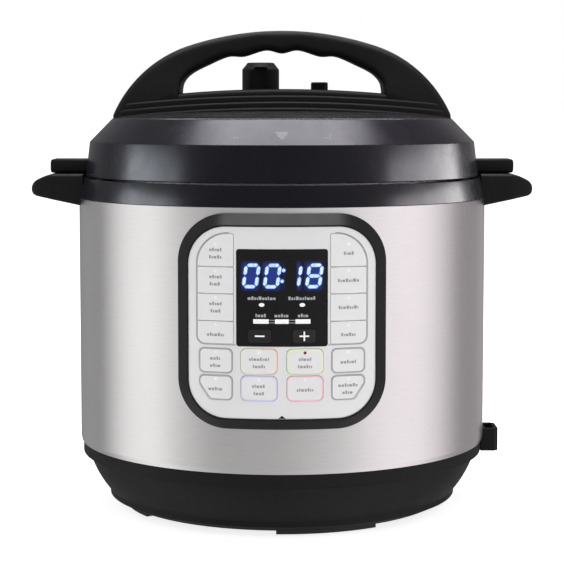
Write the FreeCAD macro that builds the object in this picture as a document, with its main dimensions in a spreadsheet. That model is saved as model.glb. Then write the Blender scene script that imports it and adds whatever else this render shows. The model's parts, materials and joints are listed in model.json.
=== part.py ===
import FreeCAD, Part

import math
import os

import Sketcher

Vector = FreeCAD.Vector

# An electric pressure cooker of 6 litres. Millimetres and degrees.
# The origin is on the pot's axis at table level, +Z is up and the control panel faces -Y.
SIZES = {
    # gaps
    "fit_gap": 0.1,
    "part_gap": 0.3,
    # outer shell: a brushed steel tube whose lower edge rolls in
    "shell_radius": 137.0,
    "shell_wall": 0.8,
    "shell_bottom": 44.3,
    "shell_roll_top": 47.0,
    "shell_roll_in": 0.6,
    "shell_top": 207.0,
    "window_half_width": 51.5,
    "window_half_height": 53.5,
    "window_rounding": 18.0,
    # top collar: the black ring with the drip trough, which carries the outer pot
    "collar_foot_radius": 136.6,
    "collar_brim_radius": 134.0,
    "collar_top": 220.6,
    "collar_brim": 2.4,
    "collar_trough_outer": 132.6,
    "collar_trough_inner": 129.8,
    "collar_trough_floor": 211.0,
    "collar_ring_top": 217.0,
    "collar_bore": 127.4,
    "collar_shelf_bore": 122.2,
    "collar_shelf_top": 204.4,
    "collar_shelf_bottom": 202.0,
    "collar_skirt_bore": 133.2,
    "collar_skirt_radius": 135.9,
    "collar_skirt_bottom": 195.0,
    # base shell: the black moulded bowl under the steel
    "base_floor": 3.0,
    "base_floor_radius": 109.0,
    "base_wall": 2.5,
    "base_heel_radius": 117.4,
    "base_heel_bottom": 7.0,
    "base_heel_top": 10.3,
    "base_belly_radius": 126.8,
    "base_belly_height": 22.0,
    "base_neck_radius": 131.0,
    "base_neck_height": 34.2,
    "base_band_radius": 135.4,
    "base_band_bottom": 36.2,
    "base_lip_radius": 134.8,
    "base_lip_bottom": 48.0,
    "base_lip_top": 58.0,
    "base_belly_rounding": 60.0,
    "vent_length": 22.0,
    "vent_width": 3.6,
    "vent_rounding": 1.4,
    "vent_radius": 48.0,
    "vent_count": 12,
    # rubber feet: four arcs
    "foot_inner": 99.0,
    "foot_outer": 107.0,
    "foot_angle": 36.0,
    "foot_lead": 16.0,
    "foot_rounding": 0.4,
    # base screws
    "screw_circle": 88.0,
    "screw_head_radius": 3.6,
    "screw_head_height": 1.6,
    "screw_shank_radius": 1.7,
    "screw_length": 16.0,
    # side handles
    "grip_tip": 169.7,
    "grip_flat_end": 156.0,
    "grip_top": 223.0,
    "grip_tip_top": 217.2,
    "grip_tip_bottom": 207.3,
    "grip_root_bottom": 200.3,
    "grip_root": 130.0,
    "grip_root_reach": 3.0,
    "grip_half_width": 27.0,
    "grip_tip_half_width": 23.5,
    "grip_rounding": 8.0,
    "grip_slot_start": 144.5,
    "grip_slot_width": 10.5,
    "grip_slot_half_length": 13.0,
    "grip_slot_depth": 16.5,
    # outer pot: the pressed steel well with the bayonet ring
    "well_radius": 115.0,
    "well_wall": 1.5,
    "well_floor": 42.5,
    "well_rounding": 8.0,
    "well_ledge": 204.5,
    "well_collar_radius": 127.0,
    "well_top": 218.5,
    "well_sensor_bore": 16.0,
    "lug_thickness": 1.5,
    "well_lug_radius": 123.2,
    "lug_angle": 27.0,
    "lug_count": 6,
    # heating plate with its cast-in element, and the sensor in its middle
    "plate_radius": 95.0,
    "plate_top": 52.0,
    "plate_rim_top": 50.5,
    "plate_bore": 14.0,
    "plate_groove_radius": 64.5,
    "plate_groove_half": 4.4,
    "plate_groove_top": 49.2,
    "element_radius": 1.8,
    "terminal_radius": 1.2,
    "terminal_bottom": 30.0,
    "terminal_angle": 14.0,
    "terminal_hole": 4.0,
    "sensor_radius": 12.5,
    "sensor_top": 52.25,
    "sensor_cap_bottom": 46.5,
    "sensor_stem_radius": 4.0,
    "sensor_stem_bottom": 24.0,
    "spring_radius": 7.0,
    "spring_wire": 0.6,
    "spring_turns": 4,
    "bracket_length": 60.0,
    "bracket_width": 20.0,
    "bracket_sheet": 1.5,
    "bracket_height": 28.0,
    "bracket_bore": 4.4,
    # heat shield round the well
    "shield_radius": 120.5,
    "shield_bottom": 62.0,
    "shield_top": 196.0,
    "shield_sheet": 0.5,
    # inner pot
    "pot_radius": 111.5,
    "pot_wall": 1.2,
    "pot_bottom": 52.3,
    "pot_floor": 3.0,
    "pot_rounding": 11.0,
    "pot_rim_radius": 119.3,
    "pot_rim_bottom": 206.5,
    "pot_rim_top": 208.0,
    "pot_rim_rounding": 0.4,
    # sealing ring: a channel of silicone that opens inwards
    "seal_inner": 108.0,
    "seal_outer": 119.3,
    "seal_bottom": 208.2,
    "seal_top": 221.5,
    "seal_lip": 2.4,
    "seal_back": 2.2,
    # inner lid with its bayonet lugs
    "disc_bottom": 221.8,
    "disc_top": 223.2,
    "disc_radius": 129.2,
    "skirt_outer": 121.0,
    "skirt_inner": 119.7,
    "skirt_bottom": 210.0,
    "lid_lug_radius": 122.9,
    "lid_lug_bottom": 213.6,
    "rack_outer": 113.0,
    "rack_inner": 105.0,
    "rack_bottom": 213.6,
    "rack_sheet": 1.4,
    "rack_post": 1.6,
    "rack_post_angle": 8.0,
    # lid cover: the glossy moulded dome with a fin over each side handle
    "cover_brim_radius": 132.5,
    "cover_brim": 221.4,
    "cover_edge_radius": 129.7,
    "cover_edge": 244.5,
    "cover_shoulder_radius": 114.2,
    "cover_shoulder": 260.3,
    "cover_dome_radius": 109.0,
    "cover_dome_start": 261.6,
    "cover_top": 266.0,
    "cover_wall": 2.5,
    "cover_bend": 5.0,
    "cover_edge_rounding": 1.0,
    "fin_tip": 156.0,
    "fin_root": 126.0,
    "fin_half_width": 11.8,
    "fin_bottom": 223.4,
    "fin_top": 232.6,
    # lid handle: an arch with finger grips over a stepped plate
    "arch_top": 318.6,
    "arch_crown_radius": 205.0,
    "arch_crown_half": 63.35,
    "arch_crown_end": 308.57,
    "arch_side_radius": 84.0,
    "arch_foot_half": 114.4,
    "arch_foot": 262.2,
    "arch_root": 255.0,
    "ridge_pitch": 24.8,
    "ridge_rounding": 11.0,
    "ridge_one_height": 303.7,
    "hollow_one_height": 305.9,
    "ridge_two_height": 301.7,
    "hollow_two_height": 301.9,
    "ridge_three_height": 295.4,
    "eye_bend": 61.0,
    "eye_bend_height": 290.6,
    "arch_eye_half": 69.0,
    "eye_corner_height": 282.5,
    "eye_corner_rounding": 5.0,
    "arch_waist_half": 15.0,
    "arch_end_half": 26.0,
    "saddle_half_length": 74.0,
    "saddle_half_width": 24.0,
    "saddle_top": 279.6,
    "saddle_end": 276.2,
    "terrace_half_length": 111.0,
    "terrace_one_width": 50.0,
    "terrace_one_end": 27.0,
    "terrace_one_top": 267.3,
    "terrace_two_width": 42.0,
    "terrace_two_end": 26.0,
    "terrace_two_top": 271.2,
    "terrace_three_width": 34.0,
    "terrace_three_end": 25.0,
    "terrace_three_top": 275.3,
    "terrace_chamfer": 1.6,
    "terrace_disc_radius": 114.3,
    # steam release
    "vent_x": -15.0,
    "valve_y": 45.0,
    "pipe_radius": 5.0,
    "pipe_bore": 1.8,
    "pipe_bottom": 214.0,
    "pipe_top": 279.0,
    "weight_radius": 8.5,
    "weight_bottom": 271.5,
    "weight_top": 290.0,
    "weight_bore": 5.35,
    "weight_seat": 279.3,
    "knob_radius": 13.0,
    "knob_bottom": 269.5,
    "knob_top": 298.6,
    "knob_bore": 8.85,
    "knob_crown": 291.0,
    "knob_slope_height": 4.9,
    "knob_slope_width": 3.85,
    "knob_scoop_radius": 9.0,
    "knob_scoop_offset": 19.0,
    "knob_scoop_top": 295.1,
    "knob_pointer_width": 4.0,
    "knob_pointer_height": 6.0,
    "knob_pointer_reach": 17.0,
    "knob_recess": 19.0,
    "guard_radius": 13.0,
    "guard_bottom": 207.5,
    "guard_wall": 1.0,
    "guard_slot_count": 8,
    # float valve
    "float_x": 26.3,
    "float_radius": 3.2,
    "float_guide_radius": 6.0,
    "float_guide_bore": 3.6,
    "float_guide_top": 285.0,
    "float_top": 279.0,
    "float_bottom": 212.0,
    "float_cap_radius": 6.5,
    "float_cap_top": 215.4,
    "float_rounding": 0.8,
    # lid locking pin
    "pin_radius": 2.0,
    "pin_bore": 2.4,
    "pin_height": 229.5,
    "pin_inner": 56.0,
    "pin_outer": 116.0,
    "ear_thickness": 2.0,
    "ear_one": 70.0,
    "ear_two": 104.0,
    "ear_half_width": 6.0,
    "ear_height": 11.0,
    "lid_screw_radius": 2.0,
    "lid_screw_head_radius": 4.0,
    "lid_screw_head_height": 2.5,
    "lid_screw_seat": 252.8,
    "lid_screw_top": 271.2,
    "lid_screw_hole_top": 275.5,
    "lid_screw_x": 92.0,
    "lid_screw_y": 14.0,
    # control panel: a convex panel concentric with the shell
    "panel_height": 138.2,
    "bezel_inner_radius": 137.1,
    "bezel_outer_radius": 145.6,
    "bezel_half_width": 63.6,
    "bezel_half_height": 65.6,
    "bezel_rounding": 30.0,
    "bezel_slope": 6.6,
    "face_half_width": 56.8,
    "face_half_height": 58.05,
    "face_rounding": 23.0,
    "face_outer_radius": 145.2,
    "face_inner_radius": 142.8,
    "opening_half_width": 52.6,
    "opening_half_height": 54.7,
    "opening_rounding": 20.0,
    "notch_half": 2.4,
    "notch_depth": 1.8,
    "key_outer_radius": 145.5,
    "key_inner_radius": 141.2,
    "key_gap": 0.2,
    "key_split": 0.25,
    "key_rounding": 3.4,
    "key_corner": 0.85,
    "key_lower_corner": 4.4,
    "step_key_corner": 1.7,
    "stem_size": 4.0,
    "stem_end": 129.6,
    "glass_outer_radius": 145.3,
    "glass_inner_radius": 142.9,
    "glass_half_width": 27.5,
    "glass_top": 182.8,
    "glass_bottom": 124.2,
    "glass_rounding": 1.7,
    "side_key_inner": 29.2,
    "side_key_outer": 51.0,
    "side_key_top": 191.9,
    "side_key_bottom": 125.6,
    "side_key_arc": 18.4,
    "side_split_one": 172.0,
    "side_split_two": 155.7,
    "side_split_three": 139.2,
    "row_outer_far": 50.2,
    "row_outer_near": 29.8,
    "row_inner_far": 24.8,
    "row_inner_near": 2.9,
    "row_one_top": 122.7,
    "row_one_bottom": 107.6,
    "row_two_top": 106.3,
    "row_two_bottom": 91.2,
    "row_slant": 6.4,
    "row_slant_rise": 9.6,
    "step_key_near": 6.4,
    "step_key_far": 20.4,
    "step_key_top": 134.6,
    "step_key_bottom": 126.4,
    # boards behind the panel
    "board_front": 125.6,
    "board_back": 124.0,
    "board_half_width": 49.0,
    "board_half_height": 52.0,
    "switch_size": 6.0,
    "switch_depth": 3.5,
    "display_half_width": 26.0,
    "display_bottom": 138.0,
    "display_top": 181.0,
    "display_front": 136.5,
    # power board in the base
    "power_length": 84.0,
    "power_width": 64.0,
    "power_height": 12.0,
    "power_sheet": 1.6,
    "power_x": -42.0,
    "power_y": -20.0,
    "post_radius": 3.0,
    "post_inset": 5.0,
    "transformer_size": 15.0,
    "transformer_inset": 7.0,
    "transformer_height": 14.0,
    "relay_length": 18.0,
    "relay_width": 14.0,
    "relay_inset": 6.0,
    "relay_height": 13.0,
    "relay_front": 10.0,
    "capacitor_radius": 6.0,
    "capacitor_inset": 15.0,
    # power inlet
    "inlet_x": 45.0,
    "inlet_width": 28.0,
    "inlet_height": 20.5,
    "inlet_bottom": 12.5,
    "inlet_face": 130.6,
    "inlet_back": 100.0,
    "inlet_wall": 2.0,
    "inlet_recess": 17.0,
    "inlet_boss_margin": 4.0,
    "blade_width": 4.0,
    "blade_thickness": 2.0,
    "blade_spacing": 7.0,
    "blade_length": 10.0,
    # accessory socket on the base
    "socket_far": 147.2,
    "socket_near": 130.0,
    "socket_half_width": 12.0,
    "socket_bottom": 34.0,
    "socket_top": 49.4,
    "socket_chamfer": 2.6,
    "socket_slot_start": 138.8,
    "socket_slot_width": 5.6,
    "socket_slot_half": 8.4,
    "socket_slot_depth": 12.0,
    # condensation collector and its bracket
    "rail_half_width": 27.0,
    "web_half_width": 22.0,
    "rail_back": 137.0,
    "rail_step": 141.0,
    "rail_face": 143.0,
    "rail_bottom": 166.0,
    "rail_top": 204.0,
    "hood_reach": 152.0,
    "hood_top": 208.6,
    "hood_bottom": 206.0,
    "cup_half_width": 32.0,
    "cup_back": 143.4,
    "cup_face": 165.0,
    "cup_bottom": 150.0,
    "cup_top": 205.4,
    "cup_wall": 1.6,
    "cup_rounding": 8.0,
    "cup_corner": 1.7,
    "hook_front": 138.4,
    "hook_step": 140.6,
    "hook_inner": 22.5,
    "hook_bore": 27.4,
    "hook_outer": 29.2,
    # leads inside the base
    "wire_radius": 1.6,
    "joint_rise": 1.6,
    "inlet_run": 18.0,
    "lead_height": 24.0,
    "duct_radius": 126.9,
    "duct_bottom": 44.0,
    "duct_top": 66.0,
    # switches on the well
    "switch_disc_radius": 11.0,
    "switch_disc_height": 6.0,
    "switch_reach": 51.6,
    "plunger_radius": 4.0,
    "plunger_length": 3.6,
    "fuse_reach": 41.3,
    "fuse_radius": 2.6,
    "fuse_length": 14.0,
}

FULL_TURN = 360.0
# how far a cutting tool passes the face that it cuts
OVERSHOOT = 1.0
SPRING_POINTS_PER_TURN = 8

doc = FreeCAD.newDocument("PressureCooker")
sheet = doc.addObject("Spreadsheet::Sheet", "Sizes")
nodes = []


class Dim:
    """A length together with the sheet formula that gives it, so that sums stay bound to the sheet."""

    def __init__(self, value, formula):
        self.value = value
        self.formula = formula

    def join(self, other, sign, flipped=False):
        other = other if isinstance(other, Dim) else Dim(float(other), repr(float(other)))
        first, second = (other, self) if flipped else (self, other)
        results = {
            "+": first.value + second.value,
            "-": first.value - second.value,
            "*": first.value * second.value,
            "/": first.value / second.value if second.value else math.inf,
        }
        return Dim(results[sign], f"({first.formula} {sign} {second.formula})")

    def __add__(self, other):
        return self.join(other, "+")

    def __radd__(self, other):
        return self.join(other, "+", flipped=True)

    def __sub__(self, other):
        return self.join(other, "-")

    def __rsub__(self, other):
        return self.join(other, "-", flipped=True)

    def __mul__(self, other):
        return self.join(other, "*")

    def __rmul__(self, other):
        return self.join(other, "*", flipped=True)

    def __truediv__(self, other):
        return self.join(other, "/")

    def __neg__(self):
        return Dim(-self.value, f"(-{self.formula})")


class Sizes:
    """Every cell of the sheet, by its alias."""


def fill_sheet():
    cells = Sizes()
    for row, (alias, value) in enumerate(SIZES.items(), start=1):
        sheet.set(f"A{row}", alias)
        sheet.set(f"B{row}", str(value))
        sheet.setAlias(f"B{row}", alias)
        setattr(cells, alias, Dim(float(value), f"Sizes.{alias}"))
    doc.recompute()
    return cells


s = fill_sheet()


def number(length):
    return length.value if isinstance(length, Dim) else float(length)


def bind(item, name, length):
    """Gives a property its number, and its formula when it has one."""
    if isinstance(length, Dim):
        item.setExpression(name, length.formula)


def place(item, across=0, along=0, up=0, rotation=None):
    """Moves an object and binds the three coordinates of its place."""
    base = Vector(number(across), number(along), number(up))
    item.Placement = FreeCAD.Placement(base, rotation or FreeCAD.Rotation())
    for axis, length in zip("xyz", (across, along, up)):
        bind(item, f"Placement.Base.{axis}", length)
    return item


def node(label, item):
    item.Label = label
    nodes.append(item)
    return item


# Sketches


class Vertex:
    """A corner of an outline: where it is, the radius that rounds it, and the radius of the arc to the next
    corner, which is negative where that arc runs clockwise."""

    def __init__(self, across, up, rounding=None, arc=None):
        self.across = across
        self.up = up
        self.rounding = rounding
        self.arc = arc

    def point(self):
        return Vector(number(self.across), number(self.up), 0)


def add_arc(sketch, start, end, radius):
    """Adds the short arc from start to end. Returns the edge and which of its ends the path meets first."""
    chord = end - start
    left = Vector(-chord.y, chord.x, 0).normalize()
    side = 1 if radius > 0 else -1
    rise = math.sqrt(max(radius**2 - (chord.Length / 2) ** 2, 0))
    centre = (start + end) * 0.5 + left * (side * rise)
    first, last = (start, end) if side > 0 else (end, start)
    angles = [math.atan2(p.y - centre.y, p.x - centre.x) for p in (first, last)]
    if angles[1] < angles[0]:
        angles[1] += 2 * math.pi
    circle = Part.Circle(centre, Vector(0, 0, 1), abs(radius))
    edge = sketch.addGeometry(Part.ArcOfCircle(circle, *angles))
    return (edge, 1, 2) if side > 0 else (edge, 2, 1)


def bind_constraint(sketch, constraint, length):
    index = sketch.addConstraint(constraint)
    if isinstance(length, Dim):
        sketch.setExpression(f"Constraints[{index}]", length.formula)


def fix_point(sketch, edge, end, vertex):
    """Ties a point of the sketch to a vertex's two coordinates."""
    for length, kind, axis in ((vertex.across, "DistanceX", -2), (vertex.up, "DistanceY", -1)):
        if number(length) == 0:
            sketch.addConstraint(Sketcher.Constraint("PointOnObject", edge, end, axis))
        else:
            distance = Sketcher.Constraint(kind, -1, 1, edge, end, number(length))
            bind_constraint(sketch, distance, length)


def add_outline(sketch, vertices):
    """Adds one closed outline, with every corner, rounding and arc bound to the sheet."""
    count = len(vertices)
    corners = [vertex.point() for vertex in vertices]
    arrivals = list(corners)
    departures = list(corners)
    for i, vertex in enumerate(vertices):
        if vertex.rounding:
            before = (corners[i - 1] - corners[i]).normalize()
            after = (corners[(i + 1) % count] - corners[i]).normalize()
            setback = number(vertex.rounding) / math.tan(before.getAngle(after) / 2)
            arrivals[i] = corners[i] + before * setback
            departures[i] = corners[i] + after * setback
    edges = []
    for i, vertex in enumerate(vertices):
        start = departures[i]
        end = arrivals[(i + 1) % count]
        if vertex.arc:
            edges.append(add_arc(sketch, start, end, number(vertex.arc)))
        else:
            edges.append((sketch.addGeometry(Part.LineSegment(start, end)), 1, 2))
    for i, vertex in enumerate(vertices):
        edge_in, _, end_in = edges[i - 1]
        edge_out, start_out, _ = edges[i]
        if vertex.rounding:
            turn = (corners[i] - corners[i - 1]).cross(corners[(i + 1) % count] - corners[i]).z
            radius = math.copysign(number(vertex.rounding), turn)
            bend, bend_start, bend_end = add_arc(sketch, arrivals[i], departures[i], radius)
            sketch.addConstraint(Sketcher.Constraint("Tangent", edge_in, end_in, bend, bend_start))
            sketch.addConstraint(Sketcher.Constraint("Tangent", bend, bend_end, edge_out, start_out))
            limit = Sketcher.Constraint("Radius", bend, abs(radius))
            bind_constraint(sketch, limit, vertex.rounding)
            apex = sketch.addGeometry(Part.Point(corners[i]), True)
            sketch.addConstraint(Sketcher.Constraint("PointOnObject", apex, 1, edge_in))
            sketch.addConstraint(Sketcher.Constraint("PointOnObject", apex, 1, edge_out))
            fix_point(sketch, apex, 1, vertex)
        else:
            sketch.addConstraint(Sketcher.Constraint("Coincident", edge_in, end_in, edge_out, start_out))
            fix_point(sketch, edge_out, start_out, vertex)
        if vertex.arc:
            size = Sketcher.Constraint("Radius", edge_out, abs(number(vertex.arc)))
            curve = vertex.arc if number(vertex.arc) > 0 else -vertex.arc
            bind_constraint(sketch, size, curve)


def add_circle(sketch, radius, across=0, up=0):
    centre = Vertex(across, up)
    circle = Part.Circle(centre.point(), Vector(0, 0, 1), number(radius))
    edge = sketch.addGeometry(circle)
    bind_constraint(sketch, Sketcher.Constraint("Radius", edge, number(radius)), radius)
    fix_point(sketch, edge, 3, centre)


def rectangle(left, right, bottom, top, rounding=None):
    """A rectangle with one rounding for all corners, or one for each from the lower left."""
    radii = rounding if isinstance(rounding, list) else [rounding] * 4
    places = ((left, bottom), (right, bottom), (right, top), (left, top))
    return [Vertex(across, up, radius) for (across, up), radius in zip(places, radii)]


# Bodies and features


def new_body(name):
    return doc.addObject("PartDesign::Body", name)


def new_sketch(body, name, role, *outlines, offset=0):
    sketch = body.newObject("Sketcher::SketchObject", name)
    plane = next(item for item in body.Origin.OriginFeatures if item.Role == role)
    sketch.AttachmentSupport = [(plane, "")]
    sketch.MapMode = "FlatFace"
    sketch.AttachmentOffset = FreeCAD.Placement(Vector(0, 0, number(offset)), FreeCAD.Rotation())
    bind(sketch, "AttachmentOffset.Base.z", offset)
    for outline in outlines:
        add_outline(sketch, outline)
    return sketch


def turned(name, outline, angle=FULL_TURN, tilt=None):
    """A body turned about the Z axis from an outline whose corners are (radius, height)."""
    body = new_body(name)
    sketch = new_sketch(body, f"{name}Outline", "XZ_Plane", outline)
    turn = body.newObject("PartDesign::Revolution", f"{name}Turn")
    turn.Profile = sketch
    turn.ReferenceAxis = (sketch, ["V_Axis"])
    turn.Angle = number(angle)
    bind(turn, "Angle", angle)
    turn.Midplane = number(angle) < FULL_TURN
    sketch.Visibility = False
    if tilt:
        body.Placement = FreeCAD.Placement(Vector(), FreeCAD.Rotation(Vector(0, 0, 1), tilt))
    return body


def add_pad(body, sketch, length, midplane=False):
    pad = body.newObject("PartDesign::Pad", f"{sketch.Name}Pad")
    pad.Profile = sketch
    pad.Length = number(length)
    bind(pad, "Length", length)
    pad.Midplane = midplane
    return pad


def add_pocket(body, sketch, length, midplane=False, reverse=False):
    """Cuts a pocket, and makes sure that it takes material away."""
    doc.recompute()
    before = body.Shape.Volume
    pocket = body.newObject("PartDesign::Pocket", f"{sketch.Name}Pocket")
    pocket.Profile = sketch
    pocket.Length = number(length)
    bind(pocket, "Length", length)
    pocket.Midplane = midplane
    pocket.Reversed = reverse
    doc.recompute()
    if body.Shape.Volume > before - 1e-3:
        raise ValueError(f"{sketch.Name} cuts nothing")
    return pocket


def padded(name, role, length, *outlines, offset=0, midplane=False):
    body = new_body(name)
    sketch = new_sketch(body, f"{name}Outline", role, *outlines, offset=offset)
    add_pad(body, sketch, length, midplane)
    return body


def forward(name, near, far, *outlines):
    """A prism whose outline faces the user, from Y = -near to Y = -far."""
    return padded(name, "XZ_Plane", far - near, *outlines, offset=near)


def patterned(body, feature, count):
    """Repeats a feature round the Z axis."""
    pattern = body.newObject("PartDesign::PolarPattern", f"{feature.Name}Ring")
    pattern.Originals = [feature]
    axis = next(item for item in body.Origin.OriginFeatures if item.Role == "Z_Axis")
    pattern.Axis = (axis, [""])
    pattern.Angle = FULL_TURN
    pattern.Occurrences = int(number(count))
    body.Tip = pattern
    return pattern


# Primitives and booleans


def box(name, left, right, front, back, bottom, top):
    """A box between six faces, with front < back along Y."""
    item = doc.addObject("Part::Box", name)
    sides = {"Length": right - left, "Width": back - front, "Height": top - bottom}
    for side, length in sides.items():
        setattr(item, side, number(length))
        bind(item, side, length)
    return place(item, left, front, bottom)


def cylinder(name, radius, bottom, top, across=0, along=0):
    item = doc.addObject("Part::Cylinder", name)
    item.Radius = number(radius)
    bind(item, "Radius", radius)
    item.Height = number(top - bottom)
    bind(item, "Height", top - bottom)
    return place(item, across, along, bottom)


def cut(name, base, *tools):
    item = doc.addObject("Part::Cut", name)
    item.Base = base
    item.Tool = tools[0] if len(tools) == 1 else fuse(f"{name}Tools", *tools)
    return item


def fuse(name, *pieces):
    item = doc.addObject("Part::MultiFuse", name)
    item.Shapes = list(pieces)
    return item


def common(name, first, second):
    item = doc.addObject("Part::Common", name)
    item.Base = first
    item.Tool = second
    return item


rings = {}


def panel_ring(inner, outer):
    """The space between two cylinders about the pot's axis, over the panel's height."""
    key = (inner.formula, outer.formula)
    if key not in rings:
        name = f"Ring{len(rings)}"
        bottom = s.panel_height - s.bezel_half_height - OVERSHOOT
        top = s.panel_height + s.bezel_half_height + OVERSHOOT
        solid = cylinder(f"{name}Outer", outer, bottom, top)
        hollow = cylinder(f"{name}Inner", inner, bottom, top)
        rings[key] = cut(name, solid, hollow)
    return rings[key]


# Housing


def make_outer_shell():
    inner = s.shell_radius - s.shell_wall
    body = turned(
        "OuterShell",
        [
            Vertex(inner - s.shell_roll_in, s.shell_bottom),
            Vertex(s.shell_radius - s.shell_roll_in, s.shell_bottom),
            Vertex(s.shell_radius, s.shell_roll_top),
            Vertex(s.shell_radius, s.shell_top),
            Vertex(inner, s.shell_top),
            Vertex(inner, s.shell_roll_top),
        ],
    )
    window = rectangle(
        -s.window_half_width,
        s.window_half_width,
        s.panel_height - s.window_half_height,
        s.panel_height + s.window_half_height,
        s.window_rounding,
    )
    sketch = new_sketch(body, "OuterShellWindow", "XZ_Plane", window)
    add_pocket(body, sketch, s.shell_radius + OVERSHOOT, reverse=True)
    node("outer_shell", body)


def make_top_collar():
    body = turned(
        "TopCollar",
        [
            Vertex(s.collar_foot_radius, s.shell_top + s.fit_gap),
            Vertex(s.collar_brim_radius, s.collar_top),
            Vertex(s.collar_brim_radius - s.collar_brim, s.collar_top),
            Vertex(s.collar_trough_outer, s.collar_trough_floor),
            Vertex(s.collar_trough_inner, s.collar_trough_floor),
            Vertex(s.collar_trough_inner, s.collar_ring_top),
            Vertex(s.collar_bore, s.collar_ring_top),
            Vertex(s.collar_bore, s.collar_shelf_top),
            Vertex(s.collar_shelf_bore, s.collar_shelf_top),
            Vertex(s.collar_shelf_bore, s.collar_shelf_bottom),
            Vertex(s.collar_skirt_bore, s.collar_shelf_bottom),
            Vertex(s.collar_skirt_bore, s.collar_skirt_bottom),
            Vertex(s.collar_skirt_radius, s.collar_skirt_bottom),
            Vertex(s.collar_skirt_radius, s.shell_top + s.fit_gap),
        ],
    )
    node("top_collar", body)


def make_base_shell():
    wall = s.base_wall
    outer = [
        Vertex(0, s.base_floor),
        Vertex(s.base_floor_radius, s.base_floor),
        Vertex(s.base_heel_radius, s.base_heel_bottom),
        Vertex(s.base_heel_radius, s.base_heel_top),
        Vertex(s.base_belly_radius, s.base_belly_height, s.base_belly_rounding),
        Vertex(s.base_neck_radius, s.base_neck_height),
        Vertex(s.base_band_radius, s.base_band_bottom),
        Vertex(s.base_band_radius, s.base_lip_bottom),
        Vertex(s.base_lip_radius, s.base_lip_bottom),
        Vertex(s.base_lip_radius, s.base_lip_top),
    ]
    inner = [
        Vertex(s.base_lip_radius - wall, s.base_lip_top),
        Vertex(s.base_lip_radius - wall, s.base_band_bottom + wall),
        Vertex(s.base_neck_radius - wall, s.base_neck_height + wall),
        Vertex(s.base_belly_radius - wall, s.base_belly_height + wall, s.base_belly_rounding),
        Vertex(s.base_heel_radius - wall, s.base_heel_top + wall),
        Vertex(s.base_heel_radius - wall, s.base_heel_bottom + wall),
        Vertex(s.base_floor_radius - wall, s.base_floor + wall),
        Vertex(0, s.base_floor + wall),
    ]
    bowl = turned("BaseBowl", outer + inner)
    slot = new_sketch(
        bowl,
        "BaseVent",
        "XY_Plane",
        rectangle(
            s.vent_radius,
            s.vent_radius + s.vent_length,
            -s.vent_width / 2,
            s.vent_width / 2,
            s.vent_rounding,
        ),
    )
    vent = add_pocket(bowl, slot, s.base_heel_top, reverse=True)
    patterned(bowl, vent, s.vent_count)
    margin = s.inlet_boss_margin
    left = s.inlet_x - s.inlet_width / 2
    right = s.inlet_x + s.inlet_width / 2
    inlet_top = s.inlet_bottom + s.inlet_height
    boss = box(
        "InletBoss",
        left - margin,
        right + margin,
        s.inlet_back + margin,
        s.inlet_face,
        s.inlet_bottom - margin,
        inlet_top + margin,
    )
    gap = s.fit_gap
    hole = box(
        "InletHole",
        left - gap,
        right + gap,
        s.inlet_back - margin,
        s.inlet_face + margin,
        s.inlet_bottom - gap,
        inlet_top + gap,
    )
    hollow = turned("BaseHollow", inner + [Vertex(0, s.base_lip_top)])
    trimmed = cut("InletBossTrimmed", boss, hollow)
    screw_holes = [
        cylinder(f"BaseScrewHole{i}", s.screw_shank_radius + s.fit_gap, 0, s.screw_length, x, y)
        for i, (x, y) in enumerate(screw_places())
    ]
    shell = cut("BaseShell", fuse("BaseWithBoss", bowl, trimmed), hole, *screw_holes)
    node("base_shell", shell)


def screw_places():
    """The four base screws, each halfway between two feet."""
    reach = s.screw_circle * math.cos(math.radians(45))
    return [(reach * across, reach * along) for across in (-1, 1) for along in (-1, 1)]


def make_base_screws():
    screws = []
    for i, (x, y) in enumerate(screw_places()):
        top = s.base_floor - s.fit_gap
        head = cylinder(f"BaseScrewHead{i}", s.screw_head_radius, top - s.screw_head_height, top, x, y)
        shank = cylinder(f"BaseScrewShank{i}", s.screw_shank_radius, top, s.screw_length, x, y)
        screws.append(fuse(f"BaseScrew{i}", head, shank))
    node("base_screws", fuse("BaseScrews", *screws))


def make_feet():
    height = s.base_floor - s.fit_gap
    outline = rectangle(s.foot_inner, s.foot_outer, 0, height, s.foot_rounding)
    feet = []
    for quarter in range(4):
        direction = quarter * FULL_TURN / 4 - 90 + s.foot_lead.value
        feet.append(turned(f"Foot{quarter}", outline, angle=s.foot_angle, tilt=direction))
    node("feet", fuse("Feet", *feet))


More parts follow.
